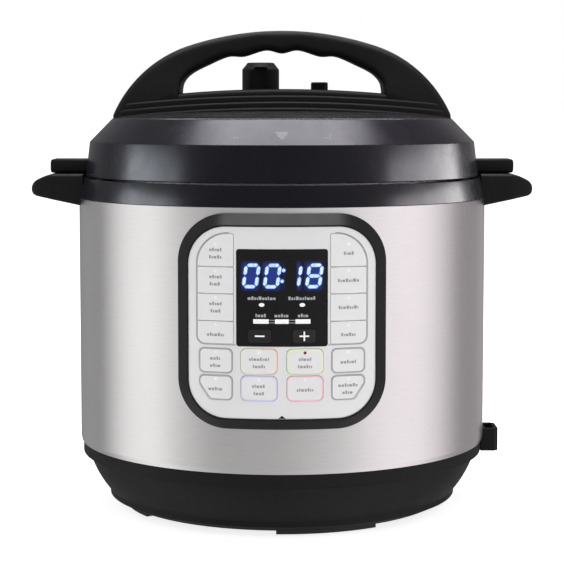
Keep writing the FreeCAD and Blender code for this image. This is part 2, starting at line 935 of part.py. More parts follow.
def make_handle(side):
    """A side handle: a hollow wedge on the collar, with the slot that the lid's fin stands in."""
    name = "HandleRight" if side > 0 else "HandleLeft"
    profile = [
        Vertex(side * s.grip_root, s.grip_root_bottom - s.part_gap),
        Vertex(side * (s.shell_radius + s.grip_root_reach), s.grip_root_bottom),
        Vertex(side * s.grip_tip, s.grip_tip_bottom),
        Vertex(side * s.grip_tip, s.grip_tip_top),
        Vertex(side * s.grip_flat_end, s.grip_top),
        Vertex(side * s.grip_root, s.grip_top),
    ]
    wedge = padded(f"{name}Wedge", "XZ_Plane", s.grip_half_width * 2, profile, midplane=True)
    plan = [
        Vertex(side * s.grip_root, -s.grip_half_width),
        Vertex(side * s.shell_radius, -s.grip_half_width),
        Vertex(side * s.grip_tip, -s.grip_tip_half_width, s.grip_rounding),
        Vertex(side * s.grip_tip, s.grip_tip_half_width, s.grip_rounding),
        Vertex(side * s.shell_radius, s.grip_half_width),
        Vertex(side * s.grip_root, s.grip_half_width),
    ]
    outline = padded(f"{name}Plan", "XY_Plane", s.grip_top + OVERSHOOT, plan)
    block = common(f"{name}Block", wedge, outline)
    slot_start = s.grip_slot_start if side > 0 else -s.grip_slot_start - s.grip_slot_width
    slot = box(
        f"{name}Slot",
        slot_start,
        slot_start + s.grip_slot_width,
        -s.grip_slot_half_length,
        s.grip_slot_half_length,
        s.grip_top - s.grip_slot_depth,
        s.grip_top + s.part_gap,
    )
    tube = cylinder(f"{name}Tube", s.shell_radius + s.fit_gap, s.collar_skirt_bottom, s.shell_top + s.fit_gap)
    cone = doc.addObject("Part::Cone", f"{name}Cone")
    lengths = {
        "Radius1": s.collar_foot_radius + s.fit_gap,
        "Radius2": s.collar_brim_radius + s.fit_gap,
        "Height": s.collar_top - s.shell_top,
    }
    for key, length in lengths.items():
        setattr(cone, key, number(length))
        bind(cone, key, length)
    place(cone, 0, 0, s.shell_top)
    cap = cylinder(
        f"{name}Cap", s.collar_brim_radius + s.fit_gap, s.collar_top - s.fit_gap, s.grip_top + s.part_gap
    )
    label = "handle_right" if side > 0 else "handle_left"
    node(label, cut(name, block, slot, tube, cone, cap))


# Pressure vessel


def make_outer_pot():
    wall = s.well_wall
    body = turned(
        "OuterPot",
        [
            Vertex(s.well_sensor_bore, s.well_floor),
            Vertex(s.well_radius, s.well_floor, s.well_rounding),
            Vertex(s.well_radius, s.well_ledge),
            Vertex(s.well_collar_radius, s.well_ledge),
            Vertex(s.well_collar_radius, s.well_top),
            Vertex(s.well_collar_radius - wall, s.well_top),
            Vertex(s.well_collar_radius - wall, s.well_ledge + wall),
            Vertex(s.well_radius - wall, s.well_ledge + wall),
            Vertex(s.well_radius - wall, s.well_floor + wall, s.well_rounding - wall),
            Vertex(s.well_sensor_bore, s.well_floor + wall),
        ],
    )
    lug_outline = rectangle(
        s.well_lug_radius,
        s.well_collar_radius - wall / 2,
        s.well_top - s.lug_thickness,
        s.well_top,
    )
    lug = add_lug(body, "WellLug", lug_outline)
    patterned(body, lug, s.lug_count)
    holes = [
        cylinder(f"WellHole{i}", s.terminal_hole, s.well_floor - wall, s.well_floor + 2 * wall, x, y)
        for i, (x, y) in enumerate(terminal_places())
    ]
    node("outer_pot", cut("OuterPotPierced", body, *holes))


def add_lug(body, name, outline):
    """One bayonet lug, a short stretch of a ring."""
    sketch = new_sketch(body, f"{name}Outline", "XZ_Plane", outline)
    lug = body.newObject("PartDesign::Revolution", name)
    lug.Profile = sketch
    lug.ReferenceAxis = (sketch, ["V_Axis"])
    lug.Angle = number(s.lug_angle)
    bind(lug, "Angle", s.lug_angle)
    lug.Midplane = True
    return lug


def terminal_places():
    half = math.radians(s.terminal_angle.value)
    across = s.plate_groove_radius * math.sin(half)
    along = s.plate_groove_radius * math.cos(half)
    return [(-across, along), (across, along)]


def make_heater():
    low = s.well_floor + s.well_wall + s.fit_gap
    plate = turned(
        "HeatingPlate",
        [
            Vertex(s.plate_bore, low),
            Vertex(s.plate_groove_radius - s.plate_groove_half, low),
            Vertex(s.plate_groove_radius - s.plate_groove_half, s.plate_groove_top),
            Vertex(s.plate_groove_radius + s.plate_groove_half, s.plate_groove_top),
            Vertex(s.plate_groove_radius + s.plate_groove_half, low),
            Vertex(s.plate_radius, low),
            Vertex(s.plate_radius, s.plate_rim_top),
            Vertex(s.plate_radius - s.pot_floor, s.plate_top),
            Vertex(s.plate_bore, s.plate_top),
        ],
    )
    node("heating_plate", plate)
    torus = doc.addObject("Part::Torus", "ElementRing")
    torus.Radius1 = number(s.plate_groove_radius)
    bind(torus, "Radius1", s.plate_groove_radius)
    torus.Radius2 = number(s.element_radius)
    bind(torus, "Radius2", s.element_radius)
    height = s.plate_groove_top - s.element_radius - s.fit_gap
    place(torus, 0, 0, height)
    pins = [
        cylinder(f"Terminal{i}", s.terminal_radius, s.terminal_bottom, height, x, y)
        for i, (x, y) in enumerate(terminal_places())
    ]
    node("heating_element", fuse("HeatingElement", torus, *pins))


def make_sensor():
    cap = cylinder("SensorCap", s.sensor_radius, s.sensor_cap_bottom, s.sensor_top)
    stem = cylinder("SensorStem", s.sensor_stem_radius, s.sensor_stem_bottom, s.sensor_cap_bottom)
    node("temperature_sensor", fuse("TemperatureSensor", cap, stem))
    sheet_top = s.bracket_height + s.bracket_sheet
    half_length = s.bracket_length / 2
    half_width = s.bracket_width / 2
    strap = box(
        "BracketStrap", -half_length, half_length, -half_width, half_width, s.bracket_height, sheet_top
    )
    legs = [
        box(
            f"BracketLeg{i}",
            start,
            start + s.bracket_sheet,
            -half_width,
            half_width,
            s.bracket_height,
            s.well_floor - s.fit_gap,
        )
        for i, start in enumerate((-half_length, half_length - s.bracket_sheet))
    ]
    bore = cylinder("BracketBore", s.bracket_bore, s.bracket_height - OVERSHOOT, sheet_top + OVERSHOOT)
    node("sensor_bracket", cut("SensorBracket", fuse("BracketBlank", strap, *legs), bore))
    low = sheet_top + s.spring_wire + s.fit_gap
    high = s.sensor_cap_bottom - s.spring_wire - s.fit_gap
    make_spring(low, high)


def make_spring(low, high):
    """The coil that presses the sensor up against the pot, between two heights of its wire's middle."""
    steps = SPRING_POINTS_PER_TURN * int(s.spring_turns.value)
    coil = []
    for i in range(steps + 1):
        angle = 2 * math.pi * i / SPRING_POINTS_PER_TURN
        across = s.spring_radius.value * math.cos(angle)
        along = s.spring_radius.value * math.sin(angle)
        coil.append(Vector(across, along, number(high - low) * i / steps))
    curve = Part.BSplineCurve()
    curve.interpolate(coil)
    start = curve.value(0)
    direction = curve.tangent(0)[0]
    section = Part.Wire(Part.makeCircle(s.spring_wire.value, start, direction))
    spring = doc.addObject("Part::Feature", "SensorSpring")
    spring.Shape = Part.Wire(curve.toShape()).makePipeShell([section], True, False)
    node("sensor_spring", place(spring, 0, 0, low))


def make_heat_shield():
    radius = s.shield_radius
    node(
        "heat_shield",
        turned("HeatShield", rectangle(radius - s.shield_sheet, radius, s.shield_bottom, s.shield_top)),
    )


def make_inner_pot():
    wall = s.pot_wall
    body = turned(
        "InnerPot",
        [
            Vertex(0, s.pot_bottom),
            Vertex(s.pot_radius, s.pot_bottom, s.pot_rounding),
            Vertex(s.pot_radius, s.pot_rim_bottom),
            Vertex(s.pot_rim_radius, s.pot_rim_bottom, s.pot_rim_rounding),
            Vertex(s.pot_rim_radius, s.pot_rim_top, s.pot_rim_rounding),
            Vertex(s.pot_radius - wall, s.pot_rim_top, s.pot_wall),
            Vertex(s.pot_radius - wall, s.pot_bottom + s.pot_floor, s.pot_rounding - wall),
            Vertex(0, s.pot_bottom + s.pot_floor),
        ],
    )
    node("inner_pot", body)


# Lid


def make_sealing_ring():
    back = s.seal_outer - s.seal_back
    body = turned(
        "SealingRing",
        [
            Vertex(s.seal_inner, s.seal_bottom),
            Vertex(s.seal_outer, s.seal_bottom, s.seal_back / 2),
            Vertex(s.seal_outer, s.seal_top, s.seal_back / 2),
            Vertex(s.seal_inner, s.seal_top),
            Vertex(s.seal_inner, s.seal_top - s.seal_lip),
            Vertex(back, s.seal_top - s.seal_lip),
            Vertex(back, s.seal_bottom + s.seal_lip),
            Vertex(s.seal_inner, s.seal_bottom + s.seal_lip),
        ],
    )
    node("sealing_ring", body)


def make_inner_lid():
    body = turned(
        "InnerLid",
        [
            Vertex(0, s.disc_bottom),
            Vertex(s.skirt_inner, s.disc_bottom),
            Vertex(s.skirt_inner, s.skirt_bottom),
            Vertex(s.skirt_outer, s.skirt_bottom),
            Vertex(s.skirt_outer, s.disc_bottom),
            Vertex(s.disc_radius, s.disc_bottom),
            Vertex(s.disc_radius, s.disc_top),
            Vertex(0, s.disc_top),
        ],
    )
    lug_outline = rectangle(
        (s.skirt_inner + s.skirt_outer) / 2,
        s.lid_lug_radius,
        s.lid_lug_bottom,
        s.lid_lug_bottom + s.lug_thickness,
    )
    lug = add_lug(body, "LidLug", lug_outline)
    patterned(body, lug, s.lug_count)
    low = s.disc_bottom - s.well_wall
    high = s.disc_top + s.well_wall
    holes = [
        cylinder("PipeHole", s.pipe_radius + s.fit_gap, low, high, s.vent_x, s.valve_y),
        cylinder("FloatHole", s.float_guide_bore, low, high, s.float_x, s.valve_y),
    ]
    blank = fuse("InnerLidWithBracket", body, make_pin_bracket())
    node("inner_lid", cut("InnerLidPierced", blank, *holes))


def make_seal_rack():
    body = turned(
        "SealRack",
        rectangle(s.rack_inner, s.rack_outer, s.rack_bottom, s.rack_bottom + s.rack_sheet),
    )
    post_outline = rectangle(
        s.rack_inner,
        s.rack_inner + s.rack_post,
        s.rack_bottom,
        s.disc_bottom - s.fit_gap,
    )
    sketch = new_sketch(body, "RackPostOutline", "XZ_Plane", post_outline)
    post = body.newObject("PartDesign::Revolution", "RackPost")
    post.Profile = sketch
    post.ReferenceAxis = (sketch, ["V_Axis"])
    post.Angle = number(s.rack_post_angle)
    bind(post, "Angle", s.rack_post_angle)
    post.Midplane = True
    patterned(body, post, s.lug_count)
    node("seal_rack", body)


def dome_outline(grow):
    """The lid cover's outer line from its brim to the top of the dome, moved outwards by grow."""
    half_chord = s.cover_dome_radius.value
    rise = s.cover_top.value - s.cover_dome_start.value
    dome = (half_chord**2 + rise**2) / (2 * rise)
    return [
        Vertex(s.cover_brim_radius + grow, s.cover_brim),
        Vertex(s.cover_edge_radius + grow, s.cover_edge + grow / 2, s.cover_edge_rounding),
        Vertex(s.cover_shoulder_radius + grow / 2, s.cover_shoulder + grow, s.cover_bend),
        Vertex(s.cover_dome_radius, s.cover_dome_start + grow, arc=dome),
        Vertex(0, s.cover_top + grow),
    ]


def make_lid_cover():
    inner = list(reversed(dome_outline(-s.cover_wall)))
    radius = inner[1].arc
    inner[1].arc = None
    inner[0].arc = -radius
    shell = turned("LidDome", dome_outline(0) + inner)
    fins = [
        box(
            f"LidFin{i}",
            start,
            start + s.fin_tip - s.fin_root,
            -s.fin_half_width,
            s.fin_half_width,
            s.fin_bottom,
            s.fin_top,
        )
        for i, start in enumerate((s.fin_root, -s.fin_tip))
    ]
    hollow = turned("LidHollow", inner + [Vertex(0, s.cover_brim)])
    trimmed = cut("LidFinsTrimmed", fuse("LidFins", *fins), hollow)
    low = s.lid_screw_seat
    high = s.cover_top + OVERSHOOT
    holes = [
        cylinder("CoverPipeHole", s.pipe_radius + s.part_gap, low, high, s.vent_x, s.valve_y),
        cylinder("CoverFloatHole", s.float_guide_radius + s.fit_gap, low, high, s.float_x, s.valve_y),
    ]
    for i, (x, y) in enumerate(lid_screw_places()):
        hole = cylinder(f"CoverScrewHole{i}", s.lid_screw_radius + s.fit_gap, low, high, x, y)
        holes.append(hole)
    node("lid_cover", cut("LidCover", fuse("LidCoverBlank", shell, trimmed), *holes))


def lid_screw_places():
    return [(s.lid_screw_x * across, s.lid_screw_y * along) for across in (-1, 1) for along in (-1, 1)]


def lens(half_length, half_width, end_half):
    """A plan outline with square ends whose long sides bow outwards."""
    length = number(half_length)
    sagitta = number(half_width) - number(end_half)
    radius = (length**2 + sagitta**2) / (2 * sagitta)
    return [
        Vertex(-half_length, -end_half, arc=radius),
        Vertex(half_length, -end_half),
        Vertex(half_length, end_half, arc=radius),
        Vertex(-half_length, end_half),
    ]


def edges_where(shape, test):
    """The names of the edges whose middle point passes a test."""
    names = []
    for i, edge in enumerate(shape.Edges, start=1):
        middle = edge.valueAt((edge.FirstParameter + edge.LastParameter) / 2)
        if test(middle):
            names.append(f"Edge{i}")
    return names


def make_lid_handle():
    half = s.arch_foot_half
    crown = s.arch_crown_half
    outer = [
        Vertex(-half, s.arch_root),
        Vertex(half, s.arch_root),
        Vertex(half, s.arch_foot, arc=s.arch_side_radius),
        Vertex(crown, s.arch_crown_end, arc=s.arch_crown_radius),
        Vertex(-crown, s.arch_crown_end, arc=s.arch_side_radius),
        Vertex(-half, s.arch_foot),
    ]
    arch = new_body("Arch")
    sketch = new_sketch(arch, "ArchOutline", "XZ_Plane", outer)
    add_pad(arch, sketch, s.arch_end_half * 2, midplane=True)
    eye_half = s.arch_eye_half
    right_side = [
        Vertex(eye_half, s.arch_root - OVERSHOOT),
        Vertex(eye_half, s.eye_corner_height, s.eye_corner_rounding),
        Vertex(s.eye_bend, s.eye_bend_height, s.eye_corner_rounding),
        Vertex(s.ridge_pitch * 2, s.ridge_three_height, s.ridge_rounding),
        Vertex(s.ridge_pitch * 1.5, s.hollow_two_height, s.ridge_rounding),
        Vertex(s.ridge_pitch, s.ridge_two_height, s.ridge_rounding),
        Vertex(s.ridge_pitch * 0.5, s.hollow_one_height, s.ridge_rounding),
    ]
    middle = [Vertex(0, s.ridge_one_height, s.ridge_rounding)]
    left_side = [Vertex(-corner.across, corner.up, corner.rounding) for corner in reversed(right_side)]
    eye = right_side + middle + left_side
    sketch = new_sketch(arch, "ArchEye", "XZ_Plane", eye)
    add_pocket(arch, sketch, s.arch_end_half * 2 + OVERSHOOT, midplane=True)
    waist = number(s.arch_end_half - s.arch_waist_half)
    plan_radius = (half.value**2 + waist**2) / (2 * waist)
    for side, name in ((1, "ArchWaistBack"), (-1, "ArchWaistFront")):
        outer_edge = side * (s.arch_end_half + OVERSHOOT)
        outline = [
            Vertex(-half, outer_edge),
            Vertex(-half, side * s.arch_end_half, arc=side * plan_radius),
            Vertex(half, side * s.arch_end_half),
            Vertex(half, outer_edge),
        ]
        sketch = new_sketch(arch, name, "XY_Plane", outline)
        add_pocket(arch, sketch, s.arch_top, reverse=True)
    terraces = [
        terrace("TerraceOne", s.terrace_one_width, s.terrace_one_end, s.terrace_one_top),
        terrace("TerraceTwo", s.terrace_two_width, s.terrace_two_end, s.terrace_two_top),
        terrace("TerraceThree", s.terrace_three_width, s.terrace_three_end, s.terrace_three_top),
    ]
    disc = cylinder("HandleDisc", s.terrace_disc_radius, s.arch_root, s.arch_top)
    envelope = padded("HandleEnvelope", "XZ_Plane", s.terrace_one_width * 2, outer, midplane=True)
    plate = common("HandlePlate", common("RoundPlate", fuse("Terraces", *terraces), disc), envelope)
    saddle_drop = number(s.saddle_top - s.saddle_end)
    saddle_length = number(s.saddle_half_length)
    saddle_radius = (saddle_length**2 + saddle_drop**2) / (2 * saddle_drop)
    saddle = padded(
        "Saddle",
        "XZ_Plane",
        s.saddle_half_width * 2,
        [
            Vertex(-s.saddle_half_length, s.arch_root),
            Vertex(s.saddle_half_length, s.arch_root),
            Vertex(s.saddle_half_length, s.saddle_end, arc=saddle_radius),
            Vertex(-s.saddle_half_length, s.saddle_end),
        ],
        midplane=True,
    )
    grown = dome_outline(s.fit_gap)
    dome = turned("HandleDomeTool", grown + [Vertex(0, s.cover_brim)])
    low = s.arch_root
    high = s.arch_top
    guide_radius = s.float_guide_radius + s.part_gap
    recesses = [
        cylinder("KnobRecess", s.knob_recess, low, high, s.vent_x, s.valve_y),
        cylinder("FloatRecess", guide_radius, low, high, s.float_x, s.valve_y),
    ]
    hole_radius = s.lid_screw_radius + s.fit_gap
    for i, (x, y) in enumerate(lid_screw_places()):
        recesses.append(cylinder(f"HandleScrewHole{i}", hole_radius, low, s.lid_screw_hole_top, x, y))
    node("lid_handle", cut("LidHandle", fuse("LidHandleBlank", arch, plate, saddle), dome, *recesses))


def terrace(name, half_width, end_half, top):
    """One step of the handle's plate: a bowed slab with a chamfered upper edge."""
    plan = lens(s.terrace_half_length, half_width, end_half)
    body = padded(name, "XY_Plane", top - s.arch_root, plan, offset=s.arch_root)
    doc.recompute()
    slab = body.Tip
    upper = edges_where(slab.Shape, lambda middle: abs(middle.z - top.value) < 0.01 and abs(middle.x) < 1)
    chamfer = body.newObject("PartDesign::Chamfer", f"{name}Chamfer")
    chamfer.Base = (slab, upper)
    chamfer.Size = number(s.terrace_chamfer)
    bind(chamfer, "Size", s.terrace_chamfer)
    return body


def make_lid_screws():
    seat = s.lid_screw_seat
    screws = []
    for i, (x, y) in enumerate(lid_screw_places()):
        head = cylinder(
            f"LidScrewHead{i}", s.lid_screw_head_radius, seat - s.lid_screw_head_height, seat, x, y
        )
        shank = cylinder(f"LidScrewShank{i}", s.lid_screw_radius, seat, s.lid_screw_top, x, y)
        screws.append(fuse(f"LidScrew{i}", head, shank))
    node("lid_screws", fuse("LidScrews", *screws))


def make_release():
    x = s.vent_x
    y = s.valve_y
    pipe = turned(
        "SteamPipe",
        [
            Vertex(s.pipe_bore, s.pipe_bottom),
            Vertex(s.pipe_radius, s.pipe_bottom),
            Vertex(s.pipe_radius, s.pipe_top - s.pipe_bore, s.pipe_bore / 2),
            Vertex(s.pipe_bore, s.pipe_top),
        ],
    )
    node("steam_pipe", place(pipe, x, y))
    guard = turned(
        "AntiBlockShield",
        [
            Vertex(0, s.guard_bottom),
            Vertex(s.guard_radius, s.guard_bottom),
            Vertex(s.guard_radius, s.disc_bottom - s.fit_gap),
            Vertex(s.guard_radius - s.guard_wall, s.disc_bottom - s.fit_gap),
            Vertex(s.guard_radius - s.guard_wall, s.guard_bottom + s.guard_wall),
            Vertex(0, s.guard_bottom + s.guard_wall),
        ],
    )
    slot = new_sketch(
        guard,
        "GuardSlot",
        "XZ_Plane",
        rectangle(
            -s.guard_wall, s.guard_wall, s.guard_bottom + 2 * s.guard_wall, s.disc_bottom - 4 * s.guard_wall
        ),
    )
    pocket = add_pocket(guard, slot, s.guard_radius + OVERSHOOT)
    patterned(guard, pocket, s.guard_slot_count)
    node("anti_block_shield", place(guard, x, y))
    weight = turned(
        "ReleaseWeight",
        [
            Vertex(0, s.weight_seat),
            Vertex(s.weight_bore, s.weight_seat),
            Vertex(s.weight_bore, s.weight_bottom),
            Vertex(s.weight_radius, s.weight_bottom),
            Vertex(s.weight_radius, s.weight_top),
            Vertex(0, s.weight_top),
        ],
    )
    node("release_weight", place(weight, x, y))
    knob = turned(
        "KnobBlank",
        [
            Vertex(s.knob_bore, s.knob_bottom),
            Vertex(s.knob_radius, s.knob_bottom),
            Vertex(s.knob_radius, s.knob_top - s.knob_slope_height),
            Vertex(s.knob_radius - s.knob_slope_width, s.knob_top),
            Vertex(0, s.knob_top),
            Vertex(0, s.knob_crown),
            Vertex(s.knob_bore, s.knob_crown),
        ],
    )
    place(knob, x, y)
    pointer = box(
        "KnobPointer",
        x - s.knob_pointer_width / 2,
        x + s.knob_pointer_width / 2,
        y + s.knob_bore + s.fit_gap,
        y + s.knob_pointer_reach,
        s.knob_bottom,
        s.knob_bottom + s.knob_pointer_height,
    )
    scoops = [
        cylinder(
            f"KnobScoop{side}",
            s.knob_scoop_radius,
            s.knob_bottom + s.knob_pointer_height,
            s.knob_scoop_top,
            x,
            y - side * s.knob_scoop_offset,
        )
        for side in (1, -1)
    ]
    node("release_knob", cut("ReleaseKnob", fuse("KnobWithPointer", knob, pointer), *scoops))


def make_float():
    guide = turned(
        "FloatGuide",
        [
            Vertex(s.float_guide_bore, s.disc_top + s.fit_gap),
            Vertex(s.float_guide_radius, s.disc_top + s.fit_gap),
            Vertex(s.float_guide_radius, s.float_guide_top, s.cover_edge_rounding),
            Vertex(s.float_guide_bore, s.float_guide_top),
        ],
    )
    node("float_guide", place(guide, s.float_x, s.valve_y))
    pin = turned(
        "FloatValve",
        [
            Vertex(0, s.float_bottom),
            Vertex(s.float_radius, s.float_bottom),
            Vertex(s.float_radius, s.float_top, s.float_rounding),
            Vertex(0, s.float_top),
        ],
    )
    node("float_valve", place(pin, s.float_x, s.valve_y))
    cap = turned(
        "FloatCap",
        [
            Vertex(s.float_radius, s.float_bottom),
            Vertex(s.float_cap_radius, s.float_bottom, s.float_rounding),
            Vertex(s.float_cap_radius, s.float_cap_top, s.float_rounding),
            Vertex(s.float_radius, s.float_cap_top),
        ],
    )
    node("float_cap", place(cap, s.float_x, s.valve_y))


def make_locking_pin():
    pin = padded("LockingPin", "XZ_Plane", s.pin_outer - s.pin_inner, offset=-s.pin_outer)
    add_circle(pin.Group[0], s.pin_radius, s.float_x, s.pin_height)
    node("locking_pin", pin)


def make_pin_bracket():
    """The strap with two bored ears, welded to the inner lid, that carries the locking pin."""
    left = s.float_x - s.ear_half_width
    right = s.float_x + s.ear_half_width
    ear_top = s.disc_top + s.ear_height
    ears = [
        box(f"PinEar{i}", left, right, start, start + s.ear_thickness, s.disc_bottom, ear_top)
        for i, start in enumerate((s.ear_one, s.ear_two))
    ]
    strap = box("PinStrap", left, right, s.ear_one, s.ear_two, s.disc_bottom, s.disc_top + s.guard_wall)
    bore = padded("PinBore", "XZ_Plane", s.pin_outer - s.pin_inner, offset=-s.pin_outer)
    add_circle(bore.Group[0], s.pin_bore, s.float_x, s.pin_height)
    return cut("PinBracket", fuse("PinBracketBlank", strap, *ears), bore)


# Control panel


def panel_outline(half_width, half_height, rounding):
    return rectangle(
        -half_width, half_width, s.panel_height - half_height, s.panel_height + half_height, rounding
    )


def on_front(middle):
    return abs(math.hypot(middle.x, middle.y) - s.bezel_outer_radius.value) < 0.01


def make_bezel():
    near = s.board_back
    far = s.bezel_outer_radius + s.part_gap
    rim = panel_outline(s.bezel_half_width, s.bezel_half_height, s.bezel_rounding)
    face = panel_outline(s.face_half_width, s.face_half_height, s.face_rounding)
    inside = panel_outline(s.opening_half_width, s.opening_half_height, s.opening_rounding)
    ring = panel_ring(s.bezel_inner_radius, s.bezel_outer_radius)
    frame = common("BezelBlank", forward("BezelPrism", near, far, rim), ring)
    doc.recompute()
    chamfer = doc.addObject("Part::Chamfer", "BezelSlope")
    chamfer.Base = frame
    size = number(s.bezel_slope)
    chamfer.Edges = [(int(name[len("Edge"):]), size, size) for name in edges_where(frame.Shape, on_front)]
    seat_ring = panel_ring(s.face_inner_radius - s.fit_gap, far)
    seat = common("BezelSeat", forward("BezelSeatPrism", near, far, face), seat_ring)
    opening = forward("BezelOpening", near, far, inside)
    low = s.panel_height - s.face_half_height
    notch = forward(
        "BezelNotch",
        s.face_outer_radius,
        far,
        [
            Vertex(-s.notch_half, low + s.fit_gap),
            Vertex(0, low - s.notch_depth),
            Vertex(s.notch_half, low + s.fit_gap),
        ],
    )
    node("panel_bezel", cut("PanelBezel", chamfer, seat, opening, notch))


def key_rows():
    """Each key's node name, its outline at a given growth, and the place of its stem."""
    keys = []
    half_gap = s.key_split
    splits = [
        s.side_key_top + half_gap,
        s.side_split_one,
        s.side_split_two,
        s.side_split_three,
        s.side_key_bottom - half_gap,
    ]
    corner = s.key_corner
    near, far = s.side_key_inner, s.side_key_outer
    for side, label in ((-1, "left"), (1, "right")):
        for i in range(4):
            top = splits[i] - half_gap
            bottom = splits[i + 1] + half_gap
            top_rounding = s.side_key_arc if i == 0 else corner
            bottom_rounding = s.key_lower_corner if i == 3 else corner
            roundings = [corner, bottom_rounding, top_rounding, corner]
            keys.append((f"key_{label}_{i + 1}", side, near, far, bottom, top, roundings, 0))
    rows = ((1, s.row_one_bottom, s.row_one_top, 0), (2, s.row_two_bottom, s.row_two_top, s.row_slant))
    for row, bottom, top, slant in rows:
        columns = (
            (-1, s.row_outer_near, s.row_outer_far, slant),
            (-1, s.row_inner_near, s.row_inner_far, 0),
            (1, s.row_inner_near, s.row_inner_far, 0),
            (1, s.row_outer_near, s.row_outer_far, slant),
        )
        for i, (side, near, far, lean) in enumerate(columns, start=1):
            keys.append((f"key_row{row}_{i}", side, near, far, bottom, top, [s.key_rounding] * 4, lean))
    for side, label in ((-1, "minus"), (1, "plus")):
        near, far = s.step_key_near, s.step_key_far
        bottom, top = s.step_key_bottom, s.step_key_top
        keys.append((f"key_{label}", side, near, far, bottom, top, [s.step_key_corner] * 4, 0))
    return keys


def key_outline(key, grow=0):
    """The outline of a key, from its inner lower corner, with the far lower corner cut off where it leans."""
    _, side, near, far, bottom, top, roundings, lean = key
    near_edge = near - grow
    far_edge = far + grow
    low = bottom - grow
    high = top + grow
    corner, low_far, high_far, high_near = roundings
    vertices = [Vertex(side * near_edge, low, corner)]
    if isinstance(lean, Dim):
        vertices.append(Vertex(side * (far_edge - lean), low, corner / 2))
        vertices.append(Vertex(side * far_edge, low + s.row_slant_rise, corner))
    else:
        vertices.append(Vertex(side * far_edge, low, low_far))
    vertices.append(Vertex(side * far_edge, high, high_far))
    vertices.append(Vertex(side * near_edge, high, high_near))
    return vertices


def key_middle(key):
    _, side, near, far, bottom, top, _, _ = key
    return side * (near + far) / 2, (bottom + top) / 2


def camel(label):
    return "".join(word.capitalize() for word in label.split("_"))


def make_keys():
    far = s.bezel_outer_radius + s.part_gap
    stem_limit = cylinder(
        "StemLimit",
        (s.key_inner_radius + s.key_outer_radius) / 2,
        s.panel_height - s.bezel_half_height,
        s.panel_height + s.bezel_half_height,
    )
    half = s.stem_size / 2
    for key in key_rows():
        label = key[0]
        name = camel(label)
        cap = common(
            f"{name}Cap",
            forward(f"{name}Prism", s.stem_end, far, key_outline(key)),
            panel_ring(s.key_inner_radius, s.key_outer_radius),
        )
        x, z = key_middle(key)
        stem = common(
            f"{name}Stem",
            box(f"{name}Post", x - half, x + half, -far, -s.stem_end, z - half, z + half),
            stem_limit,
        )
        node(label, fuse(name, cap, stem))


def make_panel_face():
    near = s.stem_end
    far = s.bezel_outer_radius + s.part_gap
    gap = s.fit_gap
    outline = panel_outline(s.face_half_width - gap, s.face_half_height - gap, s.face_rounding - gap)
    plate = common(
        "FacePlate",
        forward("FacePrism", near, far, outline),
        panel_ring(s.face_inner_radius, s.face_outer_radius),
    )
    glass_half = s.glass_half_width
    glass_outline = rectangle(-glass_half, glass_half, s.glass_bottom, s.glass_top, s.glass_rounding)
    holes = []
    window_holes = []
    for key in key_rows():
        hole = forward(f"{camel(key[0])}Hole", near - gap, far, key_outline(key, s.key_gap))
        group = window_holes if key[0] in ("key_minus", "key_plus") else holes
        group.append(hole)
    gap_outline = rectangle(
        -glass_half - gap, glass_half + gap, s.glass_bottom - gap, s.glass_top + gap, s.glass_rounding
    )
    holes.append(forward("GlassHole", near - gap, far, gap_outline))
    node("panel_face", cut("PanelFace", plate, *holes))
    glass = common(
        "GlassBlank",
        forward("GlassPrism", near, far, glass_outline),
        panel_ring(s.glass_inner_radius, s.glass_outer_radius),
    )
    node("display_window", cut("DisplayWindow", glass, *window_holes))


def make_boards():
    half_width = s.board_half_width
    low = s.panel_height - s.board_half_height
    high = s.panel_height + s.board_half_height
    board = box("BoardSheet", -half_width, half_width, -s.board_front, -s.board_back, low, high)
    half = s.switch_size / 2
    back = -s.board_front - s.fit_gap
    switches = []
    for key in key_rows():
        x, z = key_middle(key)
        name = f"{camel(key[0])}Switch"
        front = back - s.switch_depth
        switches.append(box(name, x - half, x + half, front, -s.board_front, z - half, z + half))
    node("control_board", fuse("ControlBoard", board, *switches))
    display = box(
        "DisplayModule",
        -s.display_half_width,
        s.display_half_width,
        -s.display_front,
        back,
        s.display_bottom,
        s.display_top,
    )
    node("display_module", display)


# Base contents


def make_power_board():
    low = s.power_height
    high = low + s.power_sheet
    left = s.power_x
    front = s.power_y
    right = left + s.power_length
    back = front + s.power_width
    board = box("PowerSheet", left, right, front, back, low, high)
    start = left + s.transformer_inset
    near = front + s.transformer_inset
    size = s.transformer_size
    transformer = box(
        "Transformer", start, start + size, near, near + size, high, high + s.transformer_height
    )
    end = right - s.relay_inset
    near = front + s.relay_front
    relay = box(
        "Relay", end - s.relay_length, end, near, near + s.relay_width, high, high + s.relay_height
    )
    x = right - s.capacitor_inset
    y = back - s.capacitor_inset
    capacitor = cylinder("Capacitor", s.capacitor_radius, high, high + s.relay_height, x, y)
    inset = s.post_inset
    places = [(x, y) for x in (left + inset, right - inset) for y in (front + inset, back - inset)]
    foot = s.base_floor + s.base_wall + s.fit_gap
    posts = [
        cylinder(f"PowerPost{i}", s.post_radius, foot, low, x, y) for i, (x, y) in enumerate(places)
    ]
    node("power_board", fuse("PowerBoard", board, transformer, relay, capacitor, *posts))


